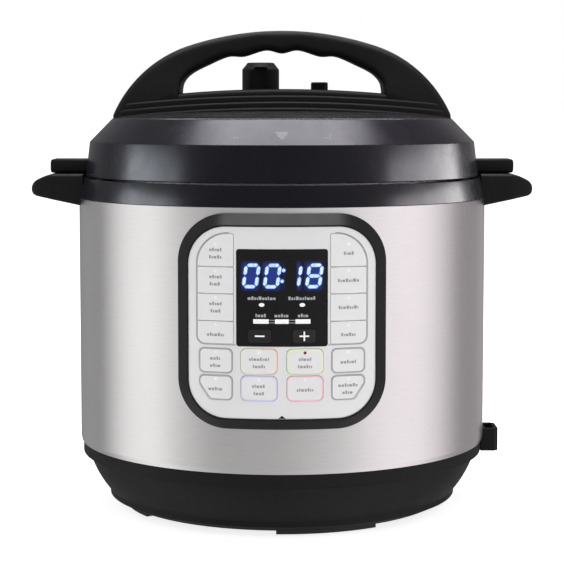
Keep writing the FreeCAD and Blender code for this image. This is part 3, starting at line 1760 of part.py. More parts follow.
def make_power_inlet():
    left = s.inlet_x - s.inlet_width / 2
    right = s.inlet_x + s.inlet_width / 2
    top = s.inlet_bottom + s.inlet_height
    wall = s.inlet_wall
    block = box("InletBlock", left, right, s.inlet_back, s.inlet_face, s.inlet_bottom, top)
    recess = box(
        "InletRecess",
        left + wall,
        right - wall,
        s.inlet_face - s.inlet_recess,
        s.inlet_face + wall,
        s.inlet_bottom + wall,
        top - wall,
    )
    middle = s.inlet_bottom + s.inlet_height / 2
    half_blade = s.blade_width / 2
    half_sheet = s.blade_thickness / 2
    blades = []
    for i in (-1, 0, 1):
        x = s.inlet_x + i * s.blade_spacing
        lift = s.blade_width / 2 if i == 0 else 0
        blades.append(
            box(
                f"Blade{i + 1}",
                x - half_sheet,
                x + half_sheet,
                s.inlet_face - s.inlet_recess - wall,
                s.inlet_face - s.inlet_recess + s.blade_length,
                middle - half_blade + lift,
                middle + half_blade + lift,
            )
        )
    node("power_inlet", fuse("PowerInlet", cut("InletHousing", block, recess), *blades))


def make_well_switches():
    top = s.well_floor - s.fit_gap
    reach = s.switch_reach
    disc_bottom = top - s.switch_disc_height
    disc = cylinder("PressureDisc", s.switch_disc_radius, disc_bottom, top, reach, -reach)
    plunger_bottom = disc_bottom - s.plunger_length
    plunger = cylinder("PressurePlunger", s.plunger_radius, plunger_bottom, disc_bottom, reach, -reach)
    node("pressure_switch", fuse("PressureSwitch", disc, plunger))
    body = padded("ThermalFuse", "YZ_Plane", s.fuse_length, midplane=True)
    add_circle(body.Group[0], s.fuse_radius, -s.fuse_reach, top - s.fuse_radius)
    node("thermal_fuse", place(body, -s.fuse_reach, 0, 0))


def rounded_route(points):
    """Straight runs joined by tangent arcs, each as large as its two runs allow."""
    edges = []
    start = points[0]
    for i in range(1, len(points) - 1):
        before = points[i - 1] - points[i]
        after = points[i + 1] - points[i]
        half_inside = before.getAngle(after) / 2
        setback = 0.45 * min(before.Length, after.Length)
        before.normalize()
        after.normalize()
        arrive = points[i] + before * setback
        leave = points[i] + after * setback
        radius = setback * math.tan(half_inside)
        bisector = (before + after).normalize()
        centre = points[i] + bisector * (radius / math.sin(half_inside))
        middle = centre - bisector * radius
        edges.append(Part.LineSegment(start, arrive).toShape())
        edges.append(Part.Arc(arrive, middle, leave).toShape())
        start = leave
    edges.append(Part.LineSegment(start, points[-1]).toShape())
    return Part.Wire(edges)


def make_wiring():
    """Three leads: inlet to power board, power board to heater, and power board to control board."""
    joint = s.power_height.value + s.power_sheet.value + s.joint_rise.value
    inlet_x = s.inlet_x.value
    inlet_back = s.inlet_back.value
    inlet_z = s.inlet_bottom.value + s.inlet_height.value / 2
    lead_z = s.lead_height.value
    gap = s.fit_gap.value * 2
    pin_x, pin_y = (number(length) for length in terminal_places()[1])
    beside_pin = pin_x - s.terminal_radius.value - s.wire_radius.value - gap * 2
    duct = s.duct_radius.value
    board_low = s.panel_height.value - s.board_half_height.value
    board_y = -(s.board_front.value + s.board_back.value) / 2
    routes = [
        [
            Vector(inlet_x, inlet_back - gap, inlet_z),
            Vector(inlet_x, inlet_back - s.inlet_run.value, inlet_z),
            Vector(28, 62, lead_z),
            Vector(17, 48, lead_z + 1),
            Vector(14, 38, joint),
        ],
        [
            Vector(-24, 38, joint),
            Vector(-22, 46, lead_z - 2),
            Vector(-6, 56, lead_z + 2),
            Vector(beside_pin - 6, pin_y - 1, lead_z + 2),
            Vector(beside_pin, pin_y, s.terminal_bottom.value + s.wire_radius.value * 2),
        ],
        [
            Vector(0, -19, joint + gap),
            Vector(0, -50, 17),
            Vector(0, -92, 20),
            Vector(0, -duct + 3.4, s.duct_bottom.value),
            Vector(0, -duct, s.duct_top.value),
            Vector(0, board_y, board_low - gap),
        ],
    ]
    leads = []
    for points in routes:
        path = rounded_route(points)
        direction = points[1] - points[0]
        circle = Part.makeCircle(s.wire_radius.value, points[0], direction)
        lead = path.makePipeShell([Part.Wire(circle)], True, True)
        expected = math.pi * s.wire_radius.value**2 * path.Length
        print(f"lead of {path.Length:.0f} mm, volume {lead.Volume / expected:.4f} of section times length")
        leads.append(lead)
    wiring = doc.addObject("Part::Feature", "WiringHarness")
    wiring.Shape = Part.makeCompound(leads)
    node("wiring_harness", wiring)


# Fittings on the outside


def make_accessory_socket():
    half = s.socket_half_width
    cut_off = s.socket_chamfer
    block = padded(
        "SocketBlock",
        "XY_Plane",
        s.socket_top - s.socket_bottom,
        [
            Vertex(s.socket_near, -half),
            Vertex(s.socket_far - cut_off, -half),
            Vertex(s.socket_far, cut_off - half),
            Vertex(s.socket_far, half - cut_off),
            Vertex(s.socket_far - cut_off, half),
            Vertex(s.socket_near, half),
        ],
        offset=s.socket_bottom,
    )
    slot = box(
        "SocketSlot",
        s.socket_slot_start,
        s.socket_slot_start + s.socket_slot_width,
        -s.socket_slot_half,
        s.socket_slot_half,
        s.socket_top - s.socket_slot_depth,
        s.socket_top + s.part_gap,
    )
    low = s.shell_bottom - s.fit_gap
    steel = cylinder("SocketSteelTool", s.shell_radius + s.fit_gap, low, s.socket_top + OVERSHOOT)
    band_low = s.socket_bottom - OVERSHOOT
    band = cylinder("SocketBandTool", s.base_band_radius + s.fit_gap, band_low, s.shell_bottom)
    node("accessory_socket", cut("AccessorySocket", block, slot, steel, band))


def make_collector():
    rail = s.rail_half_width
    web = s.web_half_width
    back = s.rail_back - s.inlet_wall
    web_box = box("RailWeb", -web, web, back, s.rail_face, s.rail_bottom, s.rail_top)
    flange = box("RailFlange", -rail, rail, s.rail_step, s.rail_face, s.rail_bottom, s.rail_top)
    hood = box("CollectorHood", -rail, rail, back, s.hood_reach, s.hood_bottom, s.hood_top)
    neck = box("CollectorNeck", -web, web, back, s.rail_face, s.rail_top, s.hood_bottom)
    low = s.rail_bottom - OVERSHOOT
    steel = cylinder("RailSteelTool", s.shell_radius + s.fit_gap, low, s.hood_top + OVERSHOOT)
    blank = fuse("BracketBlock", web_box, flange, hood, neck)
    node("collector_bracket", cut("CollectorBracket", blank, steel))
    wall = s.cup_wall
    half = s.cup_half_width
    rounding = s.cup_rounding
    corner = s.cup_corner
    blank = padded(
        "CupBlank",
        "XY_Plane",
        s.cup_top - s.cup_bottom,
        rectangle(-half, half, s.cup_back, s.cup_face, [corner, corner, rounding, rounding]),
        offset=s.cup_bottom,
    )
    hollow = padded(
        "CupHollow",
        "XY_Plane",
        s.cup_top - s.cup_bottom,
        rectangle(
            wall - half,
            half - wall,
            s.cup_back + wall,
            s.cup_face - wall,
            [corner, corner, rounding - wall, rounding - wall],
        ),
        offset=s.cup_bottom + wall,
    )
    hooks = []
    for side, name in ((-1, "Left"), (1, "Right")):
        spans = ((s.hook_inner, s.hook_step), (s.hook_bore, s.cup_back + wall / 2))
        for i, (near, rear) in enumerate(spans):
            front = s.hook_front
            far = s.hook_outer
            left, right = (near, far) if side > 0 else (-far, -near)
            hooks.append(box(f"Hook{name}{i}", left, right, front, rear, s.rail_bottom, s.rail_top))
    node("condensation_collector", fuse("CondensationCollector", cut("Cup", blank, hollow), *hooks))


# The whole cooker

make_outer_shell()
make_top_collar()
make_base_shell()
make_base_screws()
make_feet()
make_handle(-1)
make_handle(1)
make_bezel()
make_panel_face()
make_boards()
make_keys()
make_outer_pot()
make_heater()
make_sensor()
make_heat_shield()
make_power_board()
make_power_inlet()
make_well_switches()
make_wiring()
make_accessory_socket()
make_collector()
make_inner_pot()
make_sealing_ring()
make_lid_cover()
make_lid_handle()
make_inner_lid()
make_seal_rack()
make_lid_screws()
make_release()
make_float()
make_locking_pin()


def check_model():
    """Stops if any object failed or any sub-part is empty or not valid."""
    doc.recompute()
    for item in doc.Objects:
        if "Invalid" in item.State or "Error" in item.State:
            raise ValueError(f"{item.Name} is {item.State}")
    for item in nodes:
        if item.Shape.isNull() or not item.Shape.isValid() or not item.Shape.Solids:
            raise ValueError(f"{item.Label} has no valid solid")


def write_parts():
    os.makedirs("parts", exist_ok=True)
    for item in nodes:
        item.Shape.exportStep(f"parts/{item.Label}.step")
        print(f"{item.Label}: {len(item.Shape.Solids)} solids, {item.Shape.Volume:.0f} mm3")


check_model()
write_parts()
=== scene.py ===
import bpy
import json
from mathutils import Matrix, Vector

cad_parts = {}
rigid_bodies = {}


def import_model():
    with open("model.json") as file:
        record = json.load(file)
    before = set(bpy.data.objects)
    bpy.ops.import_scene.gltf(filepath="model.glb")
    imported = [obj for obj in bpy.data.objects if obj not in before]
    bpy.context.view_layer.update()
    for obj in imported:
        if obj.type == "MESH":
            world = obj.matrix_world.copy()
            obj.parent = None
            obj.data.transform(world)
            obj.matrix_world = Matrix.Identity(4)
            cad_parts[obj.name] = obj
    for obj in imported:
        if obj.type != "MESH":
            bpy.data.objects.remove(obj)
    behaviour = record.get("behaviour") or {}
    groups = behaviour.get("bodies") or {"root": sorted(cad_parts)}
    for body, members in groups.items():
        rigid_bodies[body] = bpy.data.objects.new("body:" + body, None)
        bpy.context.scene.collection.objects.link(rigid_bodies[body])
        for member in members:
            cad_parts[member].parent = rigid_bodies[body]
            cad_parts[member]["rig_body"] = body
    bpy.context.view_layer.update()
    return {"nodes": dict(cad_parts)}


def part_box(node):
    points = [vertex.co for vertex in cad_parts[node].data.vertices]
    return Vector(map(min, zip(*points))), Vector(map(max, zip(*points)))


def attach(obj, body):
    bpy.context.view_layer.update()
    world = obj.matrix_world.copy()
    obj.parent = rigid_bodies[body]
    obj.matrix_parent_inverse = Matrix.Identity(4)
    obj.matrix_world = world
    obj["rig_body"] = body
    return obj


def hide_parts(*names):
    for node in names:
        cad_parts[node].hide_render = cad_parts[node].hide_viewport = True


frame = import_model()

import json
import math

import bmesh
import bpy
import numpy as np
from mathutils import Vector

# The looks of an electric pressure cooker. Lengths below are millimetres until scaled by MM.
MM = 0.001
nodes = frame["nodes"]


def box(node):
    """A CAD node's lowest and highest corner, in millimetres."""
    low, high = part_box(node)
    return low / MM, high / MM


# ---------------------------------------------------------------- materials


class Graph:
    """A material or world whose nodes are added one call at a time."""

    def __init__(self, owner):
        owner.use_nodes = True
        self.tree = owner.node_tree
        self.tree.nodes.clear()

    def add(self, kind, settings=None, **inputs):
        made = self.tree.nodes.new(kind)
        for name, value in (settings or {}).items():
            setattr(made, name, value)
        for name, value in inputs.items():
            key = int(name[1:]) if name[1:].isdigit() else name.replace("_", " ")
            self.put(made.inputs[key], value)
        return made

    def put(self, socket, value):
        if isinstance(value, bpy.types.NodeSocket):
            self.tree.links.new(value, socket)
        else:
            socket.default_value = value

    def math(self, operation, *values):
        made = self.add("ShaderNodeMath", {"operation": operation})
        for socket, value in zip(made.inputs, values):
            self.put(socket, value)
        return made.outputs[0]

    def spread(self, value, low, high, start=0.0, end=1.0):
        """value mapped from start..end to low..high."""
        made = self.add("ShaderNodeMapRange")
        for socket, number in zip(made.inputs, (value, start, end, low, high)):
            self.put(socket, number)
        return made.outputs[0]

    def blend(self, share, first, second):
        made = self.add("ShaderNodeMix", {"data_type": "RGBA"})
        self.put(made.inputs[0], share)
        self.put(made.inputs[6], first)
        self.put(made.inputs[7], second)
        return made.outputs[2]

    def noise(self, vector, scale, detail=3.0, rough=0.55):
        made = self.add("ShaderNodeTexNoise", Scale=scale, Detail=detail, Roughness=rough)
        self.put(made.inputs["Vector"], vector)
        return made.outputs["Fac"]


def rgb(red, green, blue):
    return (red, green, blue, 1.0)


def grey(value):
    return rgb(value, value, value)


def finish_surface(graph, shader, height, strength, distance):
    bump = graph.add("ShaderNodeBump", Strength=strength, Distance=distance, Height=height)
    graph.put(shader.inputs["Normal"], bump.outputs[0])
    output = graph.add("ShaderNodeOutputMaterial")
    graph.tree.links.new(shader.outputs[0], output.inputs["Surface"])


def moulded_surface(name, dark, light, gloss, grain=1400.0, depth=0.00002, strength=0.25, **constants):
    """A moulded or cast surface: cloudy colour, fine grain, drifting roughness and a few rubbed patches."""
    surface = bpy.data.materials.new(name)
    graph = Graph(surface)
    place = graph.add("ShaderNodeTexCoord").outputs["Object"]
    clouds = graph.noise(place, 22.0)
    fine = graph.noise(place, grain, detail=2.0)
    shader = graph.add("ShaderNodeBsdfPrincipled", **constants)
    graph.put(shader.inputs["Base Color"], graph.blend(clouds, dark, light))
    rubbed = graph.spread(graph.noise(place, 75.0, detail=5.0), -0.03, 0.05, 0.3, 0.75)
    grained = graph.spread(fine, gloss - 0.03, gloss + 0.03)
    graph.put(shader.inputs["Roughness"], graph.math("ADD", grained, rubbed))
    finish_surface(graph, shader, fine, strength, depth)
    return surface


def brushed_surface(name, colour, tint, gloss, run, across, **constants):
    """Steel brushed round the vertical axis: long fine scratches, seen in colour, gloss and bump."""
    surface = bpy.data.materials.new(name)
    graph = Graph(surface)
    place = graph.add("ShaderNodeTexCoord").outputs["Object"]
    axes = graph.add("ShaderNodeSeparateXYZ", Vector=place)
    turn = graph.math("ARCTAN2", axes.outputs[0], axes.outputs[1])
    squares = [graph.math("POWER", axes.outputs[i], 2.0) for i in (0, 1)]
    reach = graph.math("POWER", graph.math("ADD", *squares), 0.5)
    scratch_place = graph.add("ShaderNodeCombineXYZ")
    graph.put(scratch_place.inputs[0], graph.math("MULTIPLY", turn, run))
    graph.put(scratch_place.inputs[1], graph.math("MULTIPLY", axes.outputs[2], across))
    graph.put(scratch_place.inputs[2], graph.math("MULTIPLY", reach, across))
    scratches = graph.noise(scratch_place.outputs[0], 1.0, detail=4.0, rough=0.7)
    clouds = graph.noise(place, 9.0)
    shader = graph.add("ShaderNodeBsdfPrincipled", Metallic=1.0, **constants)
    brushed = graph.blend(graph.spread(scratches, 0.0, 1.0, 0.3, 0.7), colour, tint)
    smudged = graph.blend(graph.spread(clouds, 0.0, 0.12, 0.45, 0.75), brushed, grey(0.55))
    graph.put(shader.inputs["Base Color"], smudged)
    graph.put(shader.inputs["Roughness"], graph.spread(scratches, gloss - 0.06, gloss + 0.08, 0.25, 0.75))
    tangent = graph.add("ShaderNodeTangent", {"direction_type": "RADIAL", "axis": "Z"})
    graph.put(shader.inputs["Tangent"], tangent.outputs[0])
    finish_surface(graph, shader, scratches, 0.12, 0.00002)
    return surface


def circuit_surface():
    """Green solder mask with copper runs and small parts showing through as blocks of tone."""
    surface = bpy.data.materials.new("circuit_board")
    graph = Graph(surface)
    place = graph.add("ShaderNodeTexCoord").outputs["Object"]
    cells = graph.add("ShaderNodeTexVoronoi", {"distance": "MANHATTAN"}, Scale=190.0, Vector=place)
    runs = graph.spread(cells.outputs["Distance"], 0.0, 1.0, 0.35, 0.42)
    shader = graph.add("ShaderNodeBsdfPrincipled", Metallic=0.0)
    graph.put(shader.inputs["Base Color"], graph.blend(runs, rgb(0.02, 0.16, 0.06), rgb(0.06, 0.3, 0.12)))
    graph.put(shader.inputs["Roughness"], graph.spread(graph.noise(place, 300.0), 0.25, 0.45))
    finish_surface(graph, shader, cells.outputs["Distance"], 0.2, 0.0001)
    return surface


def clear_surface():
    """Smoky clear moulded plastic."""
    surface = bpy.data.materials.new("clear_plastic")
    graph = Graph(surface)
    place = graph.add("ShaderNodeTexCoord").outputs["Object"]
    fine = graph.noise(place, 500.0)
    shader = graph.add("ShaderNodeBsdfPrincipled", Transmission_Weight=0.9, IOR=1.5)
    graph.put(shader.inputs["Base Color"], graph.blend(graph.noise(place, 30.0), grey(0.82), grey(0.92)))
    graph.put(shader.inputs["Roughness"], graph.spread(fine, 0.08, 0.2))
    finish_surface(graph, shader, fine, 0.1, 0.00002)
    return surface


def glowing_surface(name, core, rim, strength):
    """A lit segment, brighter in patches as its diffuser is."""
    surface = bpy.data.materials.new(name)
    graph = Graph(surface)
    place = graph.add("ShaderNodeTexCoord").outputs["Object"]
    clouds = graph.noise(place, 650.0, detail=2.0)
    shader = graph.add("ShaderNodeBsdfPrincipled", Base_Color=grey(0.03), Emission_Strength=strength)
    glow = graph.blend(graph.spread(clouds, 0.0, 1.0, 0.35, 0.7), core, rim)
    graph.put(shader.inputs["Emission Color"], glow)
    graph.put(shader.inputs["Roughness"], graph.spread(clouds, 0.25, 0.4))
    finish_surface(graph, shader, clouds, 0.05, 0.00001)
    return surface


DIGIT_PITCH = 12.65
DIGIT_HEIGHT = 14.8
DIGIT_WIDTH = 9.5
DIGIT_SLANT = math.tan(math.radians(8))


def window_surface(digits_middle):
    """Glossy black window with a blue haze round each lit digit."""
    surface = bpy.data.materials.new("display_black")
    graph = Graph(surface)
    place = graph.add("ShaderNodeTexCoord").outputs["Object"]
    axes = graph.add("ShaderNodeSeparateXYZ", Vector=place)
    half = DIGIT_PITCH * MM / 2
    cell = graph.math("ABSOLUTE", graph.math("WRAP", axes.outputs[0], half, -half))
    shifted = graph.math("ABSOLUTE", graph.math("SUBTRACT", cell, DIGIT_PITCH * MM / 2))
    beside = graph.spread(shifted, 1.0, 0.0, 0.0033, 0.0062)
    above = graph.math("ABSOLUTE", graph.math("SUBTRACT", axes.outputs[2], digits_middle * MM))
    within = graph.spread(above, 1.0, 0.0, 0.0065, 0.0095)
    inside = graph.spread(graph.math("ABSOLUTE", axes.outputs[0]), 1.0, 0.0, 2 * DIGIT_PITCH * MM, 0.0262)
    unlit = graph.math("ABSOLUTE", graph.math("SUBTRACT", axes.outputs[0], 5.2 * MM))
    lit = graph.spread(unlit, 0.0, 1.0, 0.0032, 0.0046)
    haze = graph.math("MULTIPLY", graph.math("MULTIPLY", beside, within), graph.math("MULTIPLY", inside, lit))
    speckle = graph.noise(place, 900.0, detail=2.0)
    shader = graph.add(
        "ShaderNodeBsdfPrincipled", Specular_IOR_Level=0.16, Coat_Weight=0.08, Coat_Roughness=0.06,
        Emission_Strength=1.0,
    )
    graph.put(shader.inputs["Base Color"], graph.blend(speckle, grey(0.004), grey(0.009)))
    graph.put(shader.inputs["Roughness"], graph.spread(speckle, 0.12, 0.2))
    graph.put(shader.inputs["Emission Color"], graph.blend(haze, grey(0.0), rgb(0.012, 0.03, 0.22)))
    finish_surface(graph, shader, speckle, 0.03, 0.00001)
    return surface


plastics = {
    "black_gloss_plastic": moulded_surface(
        "black_gloss_plastic", rgb(0.0033, 0.003, 0.0042), rgb(0.0055, 0.005, 0.0068), 0.25,
        depth=0.000006, Specular_IOR_Level=0.15, Specular_Tint=rgb(0.95, 0.92, 1.0),
    ),
    "black_satin_plastic": moulded_surface(
        "black_satin_plastic", grey(0.0058), grey(0.009), 0.46, strength=0.35, Specular_IOR_Level=0.115,
    ),
    "base_plastic": moulded_surface(
        "base_plastic", grey(0.0055), grey(0.0085), 0.5, strength=0.35, Specular_IOR_Level=0.16,
    ),
    "bezel_plastic": moulded_surface(
        "bezel_plastic", grey(0.0065), grey(0.01), 0.36, depth=0.00001, Specular_IOR_Level=0.16,
    ),
    "panel_silver": moulded_surface(
        "panel_silver", rgb(0.64, 0.64, 0.645), rgb(0.71, 0.71, 0.715), 0.42, grain=2600.0, Metallic=0.25,
    ),
    "key_silver": moulded_surface(
        "key_silver", rgb(0.64, 0.64, 0.645), rgb(0.7, 0.7, 0.705), 0.45, grain=2600.0, Metallic=0.2,
    ),
    "key_black": moulded_surface("key_black", grey(0.005), grey(0.009), 0.22, depth=0.00001),
    "rubber_foot": moulded_surface("rubber_foot", grey(0.012), grey(0.02), 0.75, strength=0.5),
    "silicone": moulded_surface(
        "silicone", grey(0.72), rgb(0.8, 0.79, 0.77), 0.5, Subsurface_Weight=0.1, Subsurface_Scale=0.004,
    ),
    "float_silicone": moulded_surface("float_silicone", rgb(0.45, 0.03, 0.02), rgb(0.55, 0.05, 0.03), 0.5),
    "cast_aluminium": moulded_surface(
        "cast_aluminium", grey(0.55), grey(0.66), 0.42, grain=700.0, strength=0.5, Metallic=1.0,
    ),
    "element_steel": moulded_surface(
        "element_steel", rgb(0.2, 0.19, 0.18), rgb(0.3, 0.28, 0.26), 0.4, Metallic=1.0,
    ),
    "galvanised_sheet": moulded_surface(
        "galvanised_sheet", grey(0.42), grey(0.6), 0.4, grain=260.0, Metallic=1.0,
    ),
    "zinc_screw": moulded_surface("zinc_screw", grey(0.5), grey(0.62), 0.3, Metallic=1.0),
    "display_frame": moulded_surface("display_frame", grey(0.6), grey(0.7), 0.5),
    "inlet_black": moulded_surface("inlet_black", grey(0.008), grey(0.014), 0.5),
    "fuse_ceramic": moulded_surface("fuse_ceramic", rgb(0.6, 0.58, 0.52), rgb(0.7, 0.68, 0.62), 0.6),
    "wire_pvc": moulded_surface("wire_pvc", rgb(0.35, 0.05, 0.03), rgb(0.45, 0.07, 0.05), 0.4),
}
brushed_steel = brushed_surface(
    "brushed_steel_shell", rgb(0.83, 0.815, 0.81), rgb(0.93, 0.915, 0.91), 0.33, 14.0, 2600.0,
    Anisotropic=0.7, Anisotropic_Rotation=0.25,
)
satin_steel = brushed_surface(
    "satin_steel", grey(0.66), grey(0.78), 0.26, 10.0, 1700.0, Anisotropic=0.5, Anisotropic_Rotation=0.25,
)

NODE_FINISHES = {"base_shell": "base_plastic", "accessory_socket": "base_plastic"}

# ---------------------------------------------------------------- mesh building


def new_piece(name, vertices, faces, body, surface, slot, sharp=38.0):
    """A mesh piece from points in millimetres, riding on its body, smooth but for its sharp edges."""
    mesh = bpy.data.meshes.new(name)
    mesh.from_pydata([Vector(v) * MM for v in vertices], [], faces)
    return piece_of(name, mesh, body, surface, sharp)


def piece_of(name, mesh, body, surface, sharp=38.0):
    tidy = bmesh.new()
    tidy.from_mesh(mesh)
    bmesh.ops.remove_doubles(tidy, verts=tidy.verts, dist=1e-6)
    bmesh.ops.recalc_face_normals(tidy, faces=tidy.faces)
    tidy.to_mesh(mesh)
    tidy.free()
    mesh.polygons.foreach_set("use_smooth", [True] * len(mesh.polygons))
    mesh.set_sharp_from_angle(angle=math.radians(sharp))
    mesh.materials.clear()
    mesh.materials.append(surface)
    piece = bpy.data.objects.new(name, mesh)
    bpy.context.scene.collection.objects.link(piece)
    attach(piece, body)
    return piece


def loft(rings, closed=True):
    """Vertices and faces through rings of equally many points, with capped ends unless they form a loop."""
    count = len(rings[0])
    vertices = [p for ring in rings for p in ring]
    faces = []
    last = len(rings) if not closed else len(rings) - 1
    for i in range(last):
        here = i * count
        there = (i + 1) % len(rings) * count
        for j in range(count):
            k = (j + 1) % count
            faces.append((here + j, here + k, there + k, there + j))
    if closed:
        faces.append(tuple(reversed(range(count))))
        faces.append(tuple(range((len(rings) - 1) * count, len(rings) * count)))
    return vertices, faces


def rounded(corners, steps=5):
    """A closed outline of (across, up, rounding) corners, with an arc at each rounded one."""
    points = []
    for i, (across, up, rounding) in enumerate(corners):
        here = Vector((across, up))
        back = (Vector(corners[i - 1][:2]) - here).normalized()
        ahead = (Vector(corners[(i + 1) % len(corners)][:2]) - here).normalized()
        half = back.angle(ahead) / 2
        if rounding <= 0 or half > math.radians(89.5):
            points.append(tuple(here))
            continue
        cut = rounding / math.tan(half)
        middle = here + (back + ahead).normalized() * rounding / math.sin(half)
        start = here + back * cut - middle
        end = here + ahead * cut - middle
        turn = start.angle_signed(end)
        for j in range(steps + 1):
            angle = -turn * j / steps
            cosine, sine = math.cos(angle), math.sin(angle)
            across, along = start.x * cosine - start.y * sine, start.x * sine + start.y * cosine
            points.append((middle.x + across, middle.y + along))
    return points


def lathe(outline, turns=288):
    """A closed outline of (radius, height) points turned round the vertical axis."""
    rings = []
    for i in range(turns):
        angle = 2 * math.pi * i / turns
        rings.append([(r * math.cos(angle), r * math.sin(angle), z) for r, z in outline])
    return loft(rings, closed=False)


def joined(*parts):
    """Several vertex and face lists as one."""
    vertices, faces = [], []
    for some_vertices, some_faces in parts:
        base = len(vertices)
        vertices += some_vertices
        faces += [tuple(base + i for i in face) for face in some_faces]
    return vertices, faces


def rounded_rectangle(left, right, low, high, rounding, steps=5):
    corners = ((left, low), (right, low), (right, high), (left, high))
    return rounded([(*corner, rounding) for corner in corners], steps)


def combined(piece, part, operation="DIFFERENCE"):
    """Adds part to piece, or cuts it away, and removes it."""
    modifier = piece.modifiers.new("join", "BOOLEAN")
    modifier.operation = operation
    modifier.object = part
    modifier.solver = "EXACT"
    bpy.context.view_layer.update()
    graph = bpy.context.evaluated_depsgraph_get()
    mesh = bpy.data.meshes.new_from_object(piece.evaluated_get(graph))
    piece.modifiers.clear()
    piece.data = mesh
    mesh.set_sharp_from_angle(angle=math.radians(38))
    bpy.data.objects.remove(part)


def cutter(vertices, faces, body):
    return new_piece("cutter", vertices, faces, body, plastics["black_satin_plastic"], None)


def upright(radius, low, high, x=0.0, y=0.0, turns=64):
    """A vertical round bar as vertices and faces."""
    angles = [2 * math.pi * i / turns for i in range(turns)]
    ring = [(x + radius * math.cos(angle), y + radius * math.sin(angle)) for angle in angles]
    return loft([[(a, b, low) for a, b in ring], [(a, b, high) for a, b in ring]])


def softened(name, node, slot, voxel, passes):
    """A CAD node's shape with its edges rounded off as a moulding's are, standing for that node."""
    source = nodes[node]
    copy = bpy.data.objects.new("source", source.data.copy())
    bpy.context.scene.collection.objects.link(copy)
    remesh = copy.modifiers.new("even", "REMESH")
    remesh.mode = "VOXEL"
    remesh.voxel_size = voxel * MM
    smooth = copy.modifiers.new("soft", "SMOOTH")
    smooth.iterations = passes
    smooth.factor = 0.5
    bpy.context.view_layer.update()
    graph = bpy.context.evaluated_depsgraph_get()
    mesh = bpy.data.meshes.new_from_object(copy.evaluated_get(graph))
    bpy.data.objects.remove(copy)
    piece = piece_of(name, mesh, source["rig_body"], plastics[slot], sharp=60.0)
    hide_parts(node)
    return piece


# ---------------------------------------------------------------- lid

cover_low, cover_high = box("lid_cover")
BRIM_RADIUS = cover_high.y
BRIM_HEIGHT = cover_low.z
EDGE_RADIUS = BRIM_RADIUS - 2.8
EDGE_HEIGHT = BRIM_HEIGHT + 23.1
SHOULDER_RADIUS = EDGE_RADIUS - 15.5
SHOULDER_HEIGHT = EDGE_HEIGHT + 15.8
DOME_RADIUS = SHOULDER_RADIUS - 5.2
DOME_START = SHOULDER_HEIGHT + 1.3
DOME_TOP = cover_high.z
COVER_WALL = 2.4
FIN_ROOT = 124.0
FIN_HALF_WIDTH = 11.8
FIN_HEIGHTS = (223.4, 232.6)

handle_high = box("lid_handle")[1]
pipe_low, pipe_high = box("steam_pipe")
guide_low, guide_high = box("float_guide")
pipe_x = (pipe_low.x + pipe_high.x) / 2
valve_y = (guide_low.y + guide_high.y) / 2
guide_x = (guide_low.x + guide_high.x) / 2


def dome_points(radius, start, top, steps=24):
    """The crown of the lid as an arc from its rim to the axis."""
    rise = top - start
    curve = (radius**2 + rise**2) / (2 * rise)
    angle = math.asin(radius / curve)
    middle = top - curve
    spans = [angle * (1 - i / steps) for i in range(1, steps + 1)]
    return [(max(curve * math.sin(a), 0.05), middle + curve * math.cos(a)) for a in spans]


def make_lid_cover():
    inner_edge = EDGE_RADIUS - COVER_WALL
    corners = rounded(
        [
            (BRIM_RADIUS - COVER_WALL, BRIM_HEIGHT, 0.4),
            (BRIM_RADIUS, BRIM_HEIGHT, 0.7),
            (EDGE_RADIUS, EDGE_HEIGHT, 0.9),
            (SHOULDER_RADIUS, SHOULDER_HEIGHT, 5.0),
            (DOME_RADIUS, DOME_START, 0),
            (DOME_RADIUS, DOME_START - COVER_WALL, 0),
            (SHOULDER_RADIUS - 1.6, SHOULDER_HEIGHT - COVER_WALL, 3.0),
            (inner_edge, EDGE_HEIGHT - 1.2, 0.6),
        ],
        steps=8,
    )
    rim = corners.index(
        next(p for p in corners if abs(p[0] - DOME_RADIUS) < 0.01 and p[1] > DOME_START - 0.1)
    )
    outer = dome_points(DOME_RADIUS, DOME_START, DOME_TOP)
    inner = dome_points(DOME_RADIUS, DOME_START - COVER_WALL, DOME_TOP - COVER_WALL)
    outline = corners[: rim + 1] + outer + list(reversed(inner)) + corners[rim + 1 :]
    piece = new_piece(
        "lid_dome", *lathe(outline), "lid", plastics["black_gloss_plastic"], "black_gloss_plastic",
    )
    for x, radius in ((pipe_x, 5.3), (guide_x, 6.3)):
        combined(piece, cutter(*upright(radius, DOME_START - 12, DOME_TOP + 5, x, valve_y), "lid"))
    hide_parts("lid_cover")
    low, high = FIN_HEIGHTS
    for side, label in ((-1, "left"), (1, "right")):
        rings = []
        tip = cover_high.x
        for x, inset in ((FIN_ROOT, 0.0), (tip - 1.6, 0.0), (tip - 0.5, 0.5), (tip, 1.6)):
            width = FIN_HALF_WIDTH - inset
            ring = rounded_rectangle(-width, width, low + inset, high - inset, 1.6)
            rings.append([(side * x, y, z) for y, z in ring])
        fin = new_piece(
            f"lid_fin_{label}", *loft(rings), "lid", plastics["black_satin_plastic"], "black_gloss_plastic",
        )
        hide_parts("lid_cover")
    return piece


